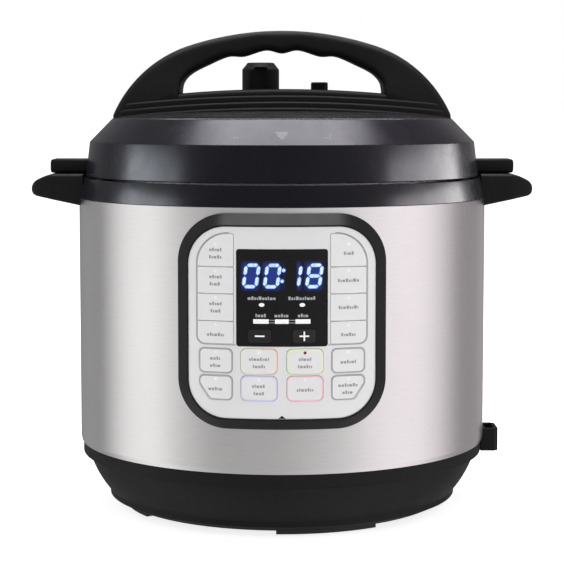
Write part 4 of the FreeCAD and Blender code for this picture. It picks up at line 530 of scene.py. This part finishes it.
def make_collar():
    """The black ring round the lid, with its drip trough and the shelf that holds the well."""
    low, high = box("top_collar")
    top = high.z
    foot = high.y
    brim = foot - 2.6
    outline = rounded(
        [
            (foot, top - 13.5, 0.3), (brim, top, 0.5), (brim - 1.4, top, 0.4), (brim - 1.4, top - 9.6, 0.5),
            (brim - 4.2, top - 9.6, 0.5), (brim - 4.2, top - 3.6, 0.5), (brim - 6.6, top - 3.6, 0.5),
            (brim - 6.6, top - 16.2, 0), (brim - 11.8, top - 16.2, 0), (brim - 11.8, top - 18.6, 0),
            (foot - 3.4, top - 18.6, 0), (foot - 3.4, low.z, 0), (foot - 0.7, low.z, 0),
            (foot - 0.7, top - 13.5, 0),
        ],
        steps=5,
    )
    gloss = plastics["black_gloss_plastic"]
    piece = new_piece("collar_ring", *lathe(outline), "housing", gloss, "black_gloss_plastic")
    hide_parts("top_collar")
    return piece


ARCH_TOP = handle_high.z
FOOT_HALF = handle_high.x
ROOT_HEIGHT = DOME_START - 4
CROWN_RADIUS = 205.0
SIDE_RADIUS = 84.0
CROWN_END = math.asin(63.35 / CROWN_RADIUS)
EYE_HALF = 67.6
ARCH_NARROWING = 0.984
WAIST_HALF = 15.0
END_HALF = 26.0


def arch_outer(spans):
    """The arch's outer line from its top to the right foot, in stretches of that many steps."""
    crown_steps, side_steps, foot_steps = spans
    points = []
    crown_middle = ARCH_TOP - CROWN_RADIUS
    for i in range(crown_steps):
        angle = CROWN_END * i / crown_steps
        points.append((CROWN_RADIUS * math.sin(angle), crown_middle + CROWN_RADIUS * math.cos(angle)))
    reach = CROWN_RADIUS - SIDE_RADIUS
    across = reach * math.sin(CROWN_END)
    up = crown_middle + reach * math.cos(CROWN_END)
    last = math.acos((262.2 - up) / SIDE_RADIUS)
    for i in range(side_steps):
        angle = CROWN_END + (last - CROWN_END) * i / side_steps
        points.append((across + SIDE_RADIUS * math.sin(angle), up + SIDE_RADIUS * math.cos(angle)))
    for i in range(foot_steps + 1):
        points.append((FOOT_HALF, 262.2 - (262.2 - ROOT_HEIGHT) * i / foot_steps))
    return [(x * ARCH_NARROWING, z) for x, z in points]


def curve_through(points, steps):
    """A smooth curve through points, in that many steps for each stretch."""
    made = []
    ends = [points[0]] + list(points) + [points[-1]]
    for i in range(1, len(ends) - 2):
        before, here, there, after = (np.array(ends[j]) for j in range(i - 1, i + 3))
        for j in range(steps):
            t = j / steps
            spline = 2 * here + (there - before) * t + (2 * before - 5 * here + 4 * there - after) * t**2
            spline = (spline + (3 * here - before - 3 * there + after) * t**3) / 2
            made.append(tuple(spline))
    made.append(tuple(points[-1]))
    return made


def arch_inner(spans):
    """The arch's inner line: finger grips over the opening, its corner's bend, then down into the plate."""
    crown_steps, side_steps, foot_steps = spans
    grips = [(0.0, 303.9), (11.0, 305.9), (25.5, 301.8), (36.5, 301.6), (50.0, 296.0)]
    crown = curve_through([(-11.0, 305.9)] + grips + [(61.0, 290.4)], crown_steps // 4)[crown_steps // 4 :]
    crown = crown[:crown_steps]
    corner = [grips[3], grips[4], (61.0, 290.4), (EYE_HALF - 1, 284.6), (EYE_HALF + 0.6, 278.5)]
    bend = curve_through(corner, side_steps // 3)
    bend = bend[side_steps // 3 :][:side_steps]
    foot = [(EYE_HALF + 0.6, 278.5 - (278.5 - ROOT_HEIGHT) * i / foot_steps) for i in range(foot_steps + 1)]
    return crown + bend + foot


def make_arch():
    spans = (32, 24, 6)
    outer = arch_outer(spans)
    inner = arch_inner(spans)
    right = list(zip(inner, outer))
    left = [((-a, b), (-c, d)) for (a, b), (c, d) in reversed(right[1:])]
    rings = []
    for (inner_x, inner_z), (outer_x, outer_z) in left + right:
        low, high = Vector((inner_x, 0, inner_z)), Vector((outer_x, 0, outer_z))
        depth = (high - low).length
        share = min(abs(outer_x) / FOOT_HALF, 1.0)
        half = WAIST_HALF + (END_HALF - WAIST_HALF) * share**2
        rounding = min(5.2, depth * 0.36)
        out = (high - low).normalized()
        outline = rounded_rectangle(-half, half, 0, depth, rounding, steps=7)
        rings.append([tuple(low + out * up + Vector((0, across, 0))) for across, up in outline])
    return loft(rings)


def make_saddle():
    """The bar under the opening that joins the arch's feet."""
    rings = []
    half_length = EYE_HALF + 5
    for i in range(41):
        x = half_length * (i / 20 - 1)
        top = 279.6 - 3.4 * (x / half_length) ** 2
        outline = rounded_rectangle(-24.0, 24.0, ROOT_HEIGHT, top, 3.4, steps=6)
        rings.append([(x, y, z) for y, z in outline])
    return loft(rings)


TERRACE_DROP = 6.5


def terrace_outline(half_length, half_width, end_width, inset):
    """A step of the plate seen from above: bowed long sides and square ends with rounded corners."""
    bow = []
    steps = 28
    for i in range(steps + 1):
        x = half_length * (i / steps * 2 - 1)
        width = end_width + (half_width - end_width) * (1 - (x / half_length) ** 2)
        bow.append((x * (half_length - inset) / half_length, width - inset, 0))
    bow[0] = (*bow[0][:2], 5.0)
    bow[-1] = (*bow[-1][:2], 5.0)
    corners = [(x, -y, r) for x, y, r in bow] + [(x, y, r) for x, y, r in reversed(bow)]
    return rounded(corners, steps=4)


def make_terraces():
    parts = []
    for half_length, half_width, end_width, top in (
        (111.0, 50.0, 27.0, 267.3),
        (109.4, 42.0, 26.2, 271.2),
        (107.0, 34.0, 25.4, 275.3),
    ):
        rings = []
        levels = [(ROOT_HEIGHT + TERRACE_DROP / 2, 0.0)]
        for i in range(6):
            angle = math.pi / 2 * i / 5
            levels.append((top - 1.7 * (1 - math.sin(angle)), 1.7 * (1 - math.cos(angle))))
        for z, inset in levels:
            outline = terrace_outline(half_length, half_width, end_width, inset)
            rings.append([(x, y, z - TERRACE_DROP * (x / FOOT_HALF) ** 2) for x, y in outline])
        parts.append(loft(rings))
    return parts


def make_lid_handle():
    surface = plastics["black_satin_plastic"]
    arch = new_piece("handle_arch", *make_arch(), "lid", surface, "black_satin_plastic", sharp=50.0)
    saddle = new_piece("handle_saddle", *make_saddle(), "lid", surface, "black_satin_plastic", sharp=50.0)
    steps = [
        new_piece(f"handle_step_{i}", *part, "lid", surface, "black_satin_plastic", sharp=50.0)
        for i, part in enumerate(make_terraces(), start=1)
    ]
    for piece in steps:
        combined(piece, cutter(*upright(19.0, ROOT_HEIGHT - 2, ARCH_TOP, pipe_x, valve_y), "lid"))
        combined(piece, cutter(*upright(6.15, ROOT_HEIGHT - 2, ARCH_TOP, guide_x, valve_y), "lid"))
    for piece in [arch, saddle, *steps]:
        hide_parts("lid_handle")


# ---------------------------------------------------------------- side handles


def make_side_handle(label, side):
    low, high = box(f"handle_{label}")
    tip = max(abs(low.x), abs(high.x)) - 2.4
    top = high.z
    half_width = high.y
    root = min(abs(low.x), abs(high.x)) + 1.2
    flat_end = tip - 13.7
    stations = [root + (flat_end - root) * i / 12 for i in range(12)]
    stations += [flat_end + (tip - 4 - flat_end) * i / 4 for i in range(5)]
    stations += [tip - 4 + 4 * math.sin(math.pi / 2 * i / 6) for i in range(1, 7)]
    rings = []
    for x in stations:
        share = max(0.0, (x - flat_end) / (tip - flat_end))
        past = max(0.0, x - (tip - 4)) / 4
        inset = 2.6 * (1 - math.sqrt(max(0.0, 1 - past**2)))
        upper = top - 5.8 * share**1.4
        lower = low.z + 1.6 + 7.4 * (x - root) / (tip - root)
        width = half_width - 3.5 * share - inset
        outline = rounded_rectangle(-width, width, lower + inset, upper - inset, 2.4, steps=6)
        rings.append([(side * x, y, z) for y, z in outline])
    piece = new_piece(
        f"side_handle_{label}", *loft(rings), "housing", plastics["black_satin_plastic"],
        "black_satin_plastic", sharp=50.0,
    )
    slot_start = tip - 22.8
    slot = rounded_rectangle(slot_start, slot_start + 10.5, -13.0, 13.0, 2.0)
    slot_rings = [[(side * x, y, z) for x, y in slot] for z in (top - 16.5, top + 4)]
    combined(piece, cutter(*loft(slot_rings), "housing"))
    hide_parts(f"handle_{label}")


# ---------------------------------------------------------------- printed marks and lights on the panel

panel_low = box("panel_face")[0]
window_low, window_high = box("display_window")
FACE_RADIUS = -panel_low.y
KEY_RADIUS = math.hypot(box("key_row1_2")[0].y, box("key_row1_2")[1].x)
WINDOW_RADIUS = -window_low.y
PRINT_LIFT = 0.06
PRINT_SINK = 0.04
PRINT_STEP = 2.5


def wrapped(points, radius, lift):
    """Points of the panel's flat drawing laid on its curved front."""
    reach = radius + lift
    return [(x, -math.sqrt(reach**2 - x**2), z) for x, z in points]


def patch(points, radius):
    """A thin printed area with a convex outline, narrow enough to lie flat on the curve."""
    return loft([wrapped(points, radius, -PRINT_SINK), wrapped(points, radius, PRINT_LIFT)])


def stroke(points, width, radius, closed=True):
    """A thin printed line along points, as a ribbon with a little thickness."""
    count = len(points)
    sides = []
    for i, point in enumerate(points):
        before = Vector(points[i - 1]) if closed or i else Vector(point)
        after = Vector(points[(i + 1) % count]) if closed or i < count - 1 else Vector(point)
        along = (after - before).normalized()
        across = Vector((-along.y, along.x)) * width / 2
        sides.append((Vector(point) - across, Vector(point) + across))
    rings = []
    for one, two in sides:
        flat = [(one.x, one.y), (two.x, two.y)]
        front = wrapped(flat, radius, PRINT_LIFT)
        back = wrapped(flat, radius, -PRINT_SINK)
        rings.append([front[0], front[1], back[1], back[0]])
    return loft(rings, closed=not closed)


def divided(points, closed=True):
    """The same line with extra points, so that it can follow the curve."""
    made = []
    count = len(points) if closed else len(points) - 1
    for i in range(count):
        start = Vector(points[i])
        end = Vector(points[(i + 1) % len(points)])
        pieces = max(1, math.ceil((end - start).length / PRINT_STEP))
        made += [tuple(start.lerp(end, j / pieces)) for j in range(pieces)]
    return made if closed else made + [points[-1]]


def bar(left, right, low, high, radius, rounding=0.3):
    """A printed bar in pieces short enough to follow the curve."""
    count = max(1, math.ceil((right - left) / PRINT_STEP / 2))
    columns = [left + (right - left) * i / count for i in range(count + 1)]
    parts = []
    if count == 1:
        return [patch(rounded_rectangle(left, right, low, high, min(rounding, (high - low) * 0.45)), radius)]
    rings = []
    for x in columns:
        flat = [(x, low), (x, high)]
        front, back = wrapped(flat, radius, PRINT_LIFT), wrapped(flat, radius, -PRINT_SINK)
        rings.append([front[0], front[1], back[1], back[0]])
    parts.append(loft(rings))
    return parts


def greeked(middle, height, width, radius, seed):
    """A line of small blocks where a label's words would be, which spells nothing."""
    parts = []
    x = middle - width / 2
    step = 0
    while x < middle + width / 2 - 0.5:
        block = 0.75 + 0.32 * ((step * 7 + seed * 3) % 4)
        tall = 1.45 if (step + seed) % 3 else 2.05
        parts += bar(x, min(x + block, middle + width / 2), height - 0.8, height - 0.8 + tall, radius, 0.15)
        x += block + 0.42
        step += 1
    return parts


def ellipse(x, z, half_width, half_height, radius, steps=20):
    angles = [2 * math.pi * i / steps for i in range(steps)]
    return patch([(x + half_width * math.cos(a), z + half_height * math.sin(a)) for a in angles], radius)


def ink(name, colour, gloss=0.5):
    red, green, blue = colour
    dark = rgb(red * 0.92, green * 0.92, blue * 0.92)
    return moulded_surface(name, dark, rgb(red, green, blue), gloss, grain=3000.0)


grey_ink = ink("ink_grey", (0.27, 0.27, 0.275))
line_ink = ink("ink_line", (0.29, 0.29, 0.3))
# Glows by emission: the display window's lit marks, and a painted glow on the white print of the minus and
# plus signs.
glowing_white = glowing_surface("white_glow", grey(0.95), grey(0.8), 1.0)
soft_white_ink = ink("ink_soft_white", (0.3, 0.31, 0.34))
lens_ink = ink("ink_lens", (0.8, 0.8, 0.8), 0.25)
digit_light = glowing_surface("digit_light", rgb(0.62, 0.8, 1.0), rgb(0.3, 0.52, 1.0), 1.25)
digit_rim = glowing_surface("digit_rim", rgb(0.03, 0.09, 0.62), rgb(0.02, 0.06, 0.45), 1.0)
red_lens = ink("lens_red", (0.16, 0.01, 0.015), 0.25)
warm_ink = ink("ink_warm", (0.85, 0.55, 0.35))
green_ink = ink("ink_green", (0.6, 0.78, 0.28))
lilac_ink = ink("ink_lilac", (0.5, 0.5, 0.78))
pink_ink = ink("ink_pink", (0.85, 0.4, 0.5))
straw_ink = ink("ink_straw", (0.72, 0.72, 0.42))
mark_ink = ink("ink_mark", (0.05, 0.05, 0.06), 0.3)


def print_piece(name, parts, surface, body, slot):
    return new_piece(name, *joined(*parts), body, surface, slot, sharp=50.0)


KEY_ROUNDING = 3.4
LINE_WIDTH = 0.62


def key_line(name, slant):
    """The outline printed just inside a key's edge."""
    low, high = box(name)
    inset = 0.45
    left, right, bottom, top = low.x + inset, high.x - inset, low.z + inset, high.z - inset
    r = KEY_ROUNDING - inset
    if not slant:
        return rounded_rectangle(left, right, bottom, top, r)
    lean, rise = 6.4, 9.6
    if left < 0:
        foot = [(left, bottom + rise, r), (left + lean, bottom, r), (right, bottom, r)]
    else:
        foot = [(left, bottom, r), (right - lean, bottom, r), (right, bottom + rise, r)]
    return rounded(foot + [(right, top, r), (left, top, r)])


def split_line(points):
    """A closed line's left and right halves, so that they can be printed in two colours."""
    middle = (min(x for x, _ in points) + max(x for x, _ in points)) / 2
    start = min(range(len(points)), key=lambda i: (round(points[i][1], 3), abs(points[i][0] - middle)))
    turned = points[start:] + points[:start]
    half = min(range(len(turned)), key=lambda i: (-round(turned[i][1], 3), abs(turned[i][0] - middle)))
    return turned[: half + 1], turned[half:] + turned[:1]


ROW_KEYS = {
    "key_row1_1": (line_ink, line_ink, (7.0, 7.0)),
    "key_row1_2": (straw_ink, warm_ink, (12.0, 7.5)),
    "key_row1_3": (green_ink, straw_ink, (7.5, 8.5)),
    "key_row1_4": (line_ink, line_ink, (9.5,)),
    "key_row2_1": (line_ink, line_ink, (9.0,)),
    "key_row2_2": (lilac_ink, lilac_ink, (8.5, 6.5)),
    "key_row2_3": (pink_ink, pink_ink, (10.0,)),
    "key_row2_4": (line_ink, line_ink, (12.0, 7.0)),
}
SIDE_LABELS = {
    "key_left_1": (7.5, 7.5),
    "key_left_2": (7.5, 7.0),
    "key_left_3": (7.5, 6.0),
    "key_left_4": (10.5,),
    "key_right_1": (6.0,),
    "key_right_2": (13.0,),
    "key_right_3": (12.0,),
    "key_right_4": (9.0,),
}
LINE_PITCH = 4.4


def print_label(name, label, middle, lens):
    """A key's label as rows of blocks, with its small round lens above."""
    low, high = box(name)
    x = (low.x + high.x) / 2
    rows = []
    for i, width in enumerate(label):
        height = middle + LINE_PITCH * ((len(label) - 1) / 2 - i)
        rows += greeked(x, height, width, KEY_RADIUS, len(name) + i + int(abs(x)))
    print_piece(f"{name}_label", rows, grey_ink, name, "key_silver")
    surface = red_lens if name == "key_row1_3" else lens_ink
    print_piece(f"{name}_lens", [ellipse(x, lens, 0.95, 0.95, KEY_RADIUS)], surface, name, "key_silver")


def print_keys():
    for name, (left_ink, right_ink, label) in ROW_KEYS.items():
        low, high = box(name)
        slant = name in ("key_row2_1", "key_row2_4")
        line = divided(key_line(name, slant))
        if left_ink is right_ink:
            print_piece(f"{name}_line", [stroke(line, LINE_WIDTH, KEY_RADIUS)], left_ink, name, "key_silver")
        else:
            halves = split_line(line)
            ordered = sorted(halves, key=lambda half: sum(x for x, _ in half) / len(half))
            for half, surface, side in zip(ordered, (left_ink, right_ink), ("left", "right")):
                ribbon = stroke(half, LINE_WIDTH, KEY_RADIUS, closed=False)
                print_piece(f"{name}_line_{side}", [ribbon], surface, name, "key_silver")
        print_label(name, label, (low.z + high.z) / 2 - 1.0, high.z - 2.3)
    for name, label in SIDE_LABELS.items():
        high = box(name)[1]
        first = name.endswith("_1")
        print_label(name, label, high.z - (12.0 if first else 8.2), high.z - (6.2 if first else 2.2))


def print_side_groups():
    """The thin line round each side group of keys and the short lines between its keys."""
    for side, label in ((-1, "left"), (1, "right")):
        edges = [box(f"key_{label}_{i}") for i in range(1, 5)]
        far = max(abs(v.x) for pair in edges for v in pair) + 0.7
        top = edges[0][1].z + 0.7
        bottom = edges[3][0].z - 0.7
        near = -window_low.x + 0.4
        arc = 19.0
        outline = rounded(
            [
                (near, bottom, 0), (far, bottom, 5.0), (far, top, arc), (near + 4, top, 0),
                (near + 4, top - 0.01, 0),
            ],
            steps=12,
        )[:-1]
        path = divided([(side * x, z) for x, z in outline], closed=False)
        lines = [stroke(path, LINE_WIDTH, FACE_RADIUS, closed=False)]
        for above, below in zip(edges, edges[1:]):
            z = (above[0].z + below[1].z) / 2
            lines += bar(*sorted((side * 33.0, side * 47.0)), z - 0.24, z + 0.24, FACE_RADIUS)
        print_piece(f"group_line_{label}", lines, line_ink, "housing", "panel_silver")
    low = panel_low.z + 0.2
    notch = patch([(-2.3, low), (2.3, low), (0.0, low + 1.9)], FACE_RADIUS)
    print_piece("face_notch", [notch], plastics["bezel_plastic"], "housing", "panel_silver")


SEGMENTS = {"0": "abcdef", "1": "bc", "8": "abcdefg"}


def segment_shapes(grow):
    """The seven segments of a digit as outlines round its middle, grown by a margin."""
    half_width = DIGIT_WIDTH / 2
    half_height = DIGIT_HEIGHT / 2
    thick = 0.95 + grow
    gap = 0.5
    shapes = {}
    for key, z in (("a", half_height - 0.95), ("g", 0.0), ("d", 0.95 - half_height)):
        end = half_width - 0.95 - gap + grow
        blunt = end - thick
        shapes[key] = [
            (-end, z), (-blunt, z - thick), (blunt, z - thick),
            (end, z), (blunt, z + thick), (-blunt, z + thick),
        ]
    for key, x, up in (("b", 1, 1), ("c", 1, -1), ("e", -1, -1), ("f", -1, 1)):
        low = gap - grow
        high = half_height - 0.95 - gap + grow
        middle = x * (half_width - 0.95)
        z = [up * v for v in (low, low + thick, high - thick, high)]
        shapes[key] = [
            (middle, z[0]), (middle + thick, z[1]), (middle + thick, z[2]),
            (middle, z[3]), (middle - thick, z[2]), (middle - thick, z[1]),
        ]
    return shapes


def make_digits(middle):
    lit, rims = [], []
    for i, digit in enumerate("0018"):
        x = (i - 1.5) * DIGIT_PITCH + 0.5
        for grow, group, radius in ((0.0, lit, WINDOW_RADIUS + 0.05), (0.42, rims, WINDOW_RADIUS)):
            for key in SEGMENTS[digit]:
                shape = [(x + a + b * DIGIT_SLANT, middle + b) for a, b in segment_shapes(grow)[key]]
                group.append(patch(shape, radius))
    for z in (-3.1, 3.4):
        lit.append(ellipse(0.5 + z * DIGIT_SLANT, middle + z, 0.95, 0.95, WINDOW_RADIUS + 0.05))
        rims.append(ellipse(0.5 + z * DIGIT_SLANT, middle + z, 1.4, 1.4, WINDOW_RADIUS))
    print_piece("digits_lit", lit, digit_light, "housing", "display_black")
    print_piece("digits_glow", rims, digit_rim, "housing", "display_black")


def print_window():
    top = window_high.z
    radius = WINDOW_RADIUS
    white = []
    for side in (-1, 1):
        white.append(ellipse(side * 12.2, top - 33.4, 1.7, 1.15, radius))
    level = top - 43.4
    for left, right in ((-17.3, -8.0), (-4.2, 4.0), (8.1, 17.1)):
        white += bar(left, right, level - 1.35, level + 1.35, radius)
    faint = []
    for left, right in ((-8.0, -4.2), (4.0, 8.1)):
        for z in (level - 0.8, level + 0.8):
            faint += bar(left, right, z - 0.2, z + 0.2, radius)
    for x, width in ((-12.1, 17.0), (12.3, 17.0)):
        faint += greeked(x, top - 29.6, width, radius, int(width) + (x > 0))
    for i, (x, width) in enumerate(((-12.7, 6.4), (0.0, 9.0), (12.7, 6.4))):
        faint += greeked(x, top - 40.0, width, radius, i)
    print_piece("window_marks", white, glowing_white, "housing", "display_black")
    print_piece("window_labels", faint, soft_white_ink, "housing", "display_black")
    for name, upright_too in (("key_minus", False), ("key_plus", True)):
        low, high = box(name)
        x, z = (low.x + high.x) / 2, (low.z + high.z) / 2
        parts = bar(x - 2.9, x + 2.9, z - 0.45, z + 0.45, KEY_RADIUS)
        if upright_too:
            parts += bar(x - 0.45, x + 0.45, z + 0.45, z + 2.9, KEY_RADIUS)
            parts += bar(x - 0.45, x + 0.45, z - 2.9, z - 0.45, KEY_RADIUS)
        # The signs are white print that glows by emission: painted light.
        print_piece(f"{name}_sign", parts, glowing_white, name, "key_black")


# ---------------------------------------------------------------- marks on the lid


def on_shoulder(across, height):
    """A point just above the lid's slanted front, by its distance round the lid and its height."""
    share = (height - EDGE_HEIGHT) / (SHOULDER_HEIGHT - EDGE_HEIGHT)
    radius = EDGE_RADIUS + (SHOULDER_RADIUS - EDGE_RADIUS) * share
    angle = across / radius
    return radius * math.sin(angle), -radius * math.cos(angle), height


def shoulder_patch(points):
    rings = []
    for lift in (-PRINT_SINK, PRINT_LIFT):
        ring = []
        for across, height in points:
            x, y, z = on_shoulder(across, height)
            outward = Vector((x, y, 0)).normalized() * 0.7 + Vector((0, 0, 0.7))
            ring.append(tuple(Vector((x, y, z)) + outward * lift))
        rings.append(ring)
    return loft(rings)


def print_lid_marks():
    """Three plain position marks: a triangle in the middle and a small bracket shape at each side."""
    z = EDGE_HEIGHT + 5.5
    parts = [shoulder_patch([(-4.6, z + 2.6), (0, z - 2.8), (4.6, z + 2.6)])]
    for side in (-1, 1):
        x = side * 28.0
        base = [(x - 1.9, z - 1.6), (x + 1.9, z - 1.6), (x + 1.9, z - 0.9), (x - 1.9, z - 0.9)]
        horn = [(x + side * 1.2, z - 0.9), (x + side * 1.9, z - 0.9), (x + side * 1.9, z + 1.7)]
        parts += [shoulder_patch(base), shoulder_patch(horn)]
    new_piece("lid_marks", *joined(*parts), "lid", mark_ink, "black_gloss_plastic", sharp=50.0)


# ---------------------------------------------------------------- carried-over CAD nodes


def dress_nodes(digits_middle):
    """Gives every CAD node that stays the material of its record slot."""
    surfaces = dict(plastics)
    surfaces["brushed_steel_shell"] = brushed_steel
    surfaces["satin_steel"] = satin_steel
    surfaces["circuit_board"] = circuit_surface()
    surfaces["clear_plastic"] = clear_surface()
    surfaces["display_black"] = window_surface(digits_middle)
    for name, item in nodes.items():
        for place in item.material_slots:
            slot = place.material.name
            place.material = surfaces[NODE_FINISHES.get(name, slot)]


# ---------------------------------------------------------------- studio

CAMERA_DISTANCE = 1.1692
CAMERA_HEIGHT = 0.2683
CAMERA_PITCH = math.radians(4.26)
CAMERA_LENS = 109.74
CAMERA_SHIFT = -0.085
FLOOR_HALF = 60.0


def make_floor():
    mesh = bpy.data.meshes.new("floor")
    half = FLOOR_HALF
    corners = [(-half, -half, 0), (half, -half, 0), (half, half, 0), (-half, half, 0)]
    mesh.from_pydata(corners, [], [(0, 1, 2, 3)])
    surface = bpy.data.materials.new("floor_paper")
    graph = Graph(surface)
    place = graph.add("ShaderNodeTexCoord").outputs["Object"]
    fibre = graph.noise(place, 60.0)
    shader = graph.add("ShaderNodeBsdfPrincipled", Emission_Color=grey(1.0), Emission_Strength=0.8)
    graph.put(shader.inputs["Base Color"], graph.blend(fibre, grey(0.86), grey(0.9)))
    graph.put(shader.inputs["Roughness"], graph.spread(fibre, 0.85, 0.95))
    finish_surface(graph, shader, fibre, 0.05, 0.0001)
    mesh.materials.append(surface)
    floor = bpy.data.objects.new("floor", mesh)
    bpy.context.scene.collection.objects.link(floor)
    floor.visible_glossy = False


def make_room():
    """White walls for the eye; pale and dark panels round the object for its reflections."""
    world = bpy.data.worlds.new("room")
    bpy.context.scene.world = world
    graph = Graph(world)
    way = graph.add("ShaderNodeTexCoord").outputs["Generated"]
    axes = graph.add("ShaderNodeSeparateXYZ", Vector=way)
    turn = graph.math("ARCTAN2", axes.outputs[0], graph.math("MULTIPLY", axes.outputs[1], -1.0))
    share = graph.spread(turn, 0.0, 1.0, -math.pi, math.pi)
    ramp = graph.add("ShaderNodeValToRGB", Fac=share)
    # Degrees round the object from its front, and the tone of the wall there. Chosen and adjusted so
    # that the steel drum shows the photo's light and dark bands.
    walls = (
        (-180, 0.1), (-165, 0.24), (-150, 0.29), (-130, 0.3), (-121, 0.2), (-110, 0.56), (-96, 0.94),
        (-76, 1.0), (-58, 0.6), (-38, 0.4), (0, 0.44), (34, 0.66), (60, 0.95), (84, 0.98), (98, 0.76),
        (116, 0.27), (140, 0.28), (158, 0.4), (172, 0.14),
    )
    stops = ramp.color_ramp.elements
    while len(stops) < len(walls):
        stops.new(0.5)
    for stop, (degrees, tone) in zip(stops, walls):
        stop.position = (degrees + 180) / 360
        warmth = 0.03 if degrees > 50 else 0.0
        stop.color = rgb(tone * (1 + warmth), tone * (1 - warmth), tone)
    walls_light = graph.add("ShaderNodeBackground", Color=ramp.outputs[0], Strength=1.0)
    white = graph.add("ShaderNodeBackground", Color=grey(1.0), Strength=1.0)
    eye = graph.add("ShaderNodeLightPath").outputs["Is Camera Ray"]
    mixed = graph.add("ShaderNodeMixShader", _0=eye, _1=walls_light.outputs[0], _2=white.outputs[0])
    output = graph.add("ShaderNodeOutputWorld")
    graph.tree.links.new(mixed.outputs[0], output.inputs["Surface"])


def softbox(name, place, aim, width, height, radiance, tint=(1.0, 1.0, 1.0)):
    """A rectangular light of the given brightness per area, pointed at aim."""
    light = bpy.data.lights.new(name, "AREA")
    light.shape = "RECTANGLE"
    light.size = width
    light.size_y = height
    light.energy = radiance * width * height * math.pi
    light.color = tint
    lamp = bpy.data.objects.new(name, light)
    lamp.visible_camera = False
    lamp.location = place
    lamp.rotation_euler = (Vector(aim) - Vector(place)).to_track_quat("-Z", "Y").to_euler()
    bpy.context.scene.collection.objects.link(lamp)
    return lamp


def link_light(lamp, pieces):
    """Makes a lamp light and be shaded by a few pieces only."""
    group = bpy.data.collections.new(f"{lamp.name}_pieces")
    for piece in pieces:
        group.objects.link(piece)
    lamp.light_linking.receiver_collection = group
    lamp.light_linking.blocker_collection = group


def make_lights(lid_side):
    """Soft boxes overhead and behind, and two strips at lid height that light only the pieces in lid_side."""
    softbox("overhead", (0.0, -0.08, 1.45), (0, -0.08, 0), 1.05, 0.75, 7.5)
    softbox("back_strip", (0.0, 0.8, 1.2), (0, 0, 0.26), 1.1, 0.16, 9.0)
    strips = (
        softbox("left_strip", (-0.5, -0.19, 0.24), (0, -0.19, 0.24), 0.34, 0.13, 15.0, (0.88, 0.97, 1.0)),
        softbox("right_strip", (0.5, -0.08, 0.24), (0, -0.08, 0.24), 0.5, 0.13, 17.0, (1.0, 0.99, 0.98)),
    )
    for lamp in strips:
        link_light(lamp, lid_side)
    lid_top = softbox("lid_top", (0.0, -0.08, 1.4), (0, -0.08, 0), 1.3, 0.6, 13.0, (0.95, 0.93, 1.0))
    link_light(lid_top, lid_side[:1])


def make_camera():
    camera = bpy.data.objects.new("camera", bpy.data.cameras.new("camera"))
    camera.location = (0.0, -CAMERA_DISTANCE, CAMERA_HEIGHT)
    camera.rotation_euler = (math.pi / 2 - CAMERA_PITCH, 0, 0)
    camera.data.lens = CAMERA_LENS
    camera.data.shift_y = CAMERA_SHIFT
    bpy.context.scene.collection.objects.link(camera)
    bpy.context.scene.camera = camera


digits_middle = window_high.z - 16.0
lid_side = [make_lid_cover(), make_collar()]
make_lid_handle()
make_side_handle("left", -1)
make_side_handle("right", 1)
softened("knob_moulding", "release_knob", "black_satin_plastic", 0.4, 6)
softened("float_guide_moulding", "float_guide", "black_satin_plastic", 0.4, 4)
softened("socket_moulding", "accessory_socket", "black_satin_plastic", 0.4, 4)
make_digits(digits_middle)
print_window()
print_keys()
print_side_groups()
print_lid_marks()
dress_nodes(digits_middle)
make_floor()
make_room()
make_lights(lid_side)
make_camera()
bpy.context.scene.view_settings.view_transform = "Standard"
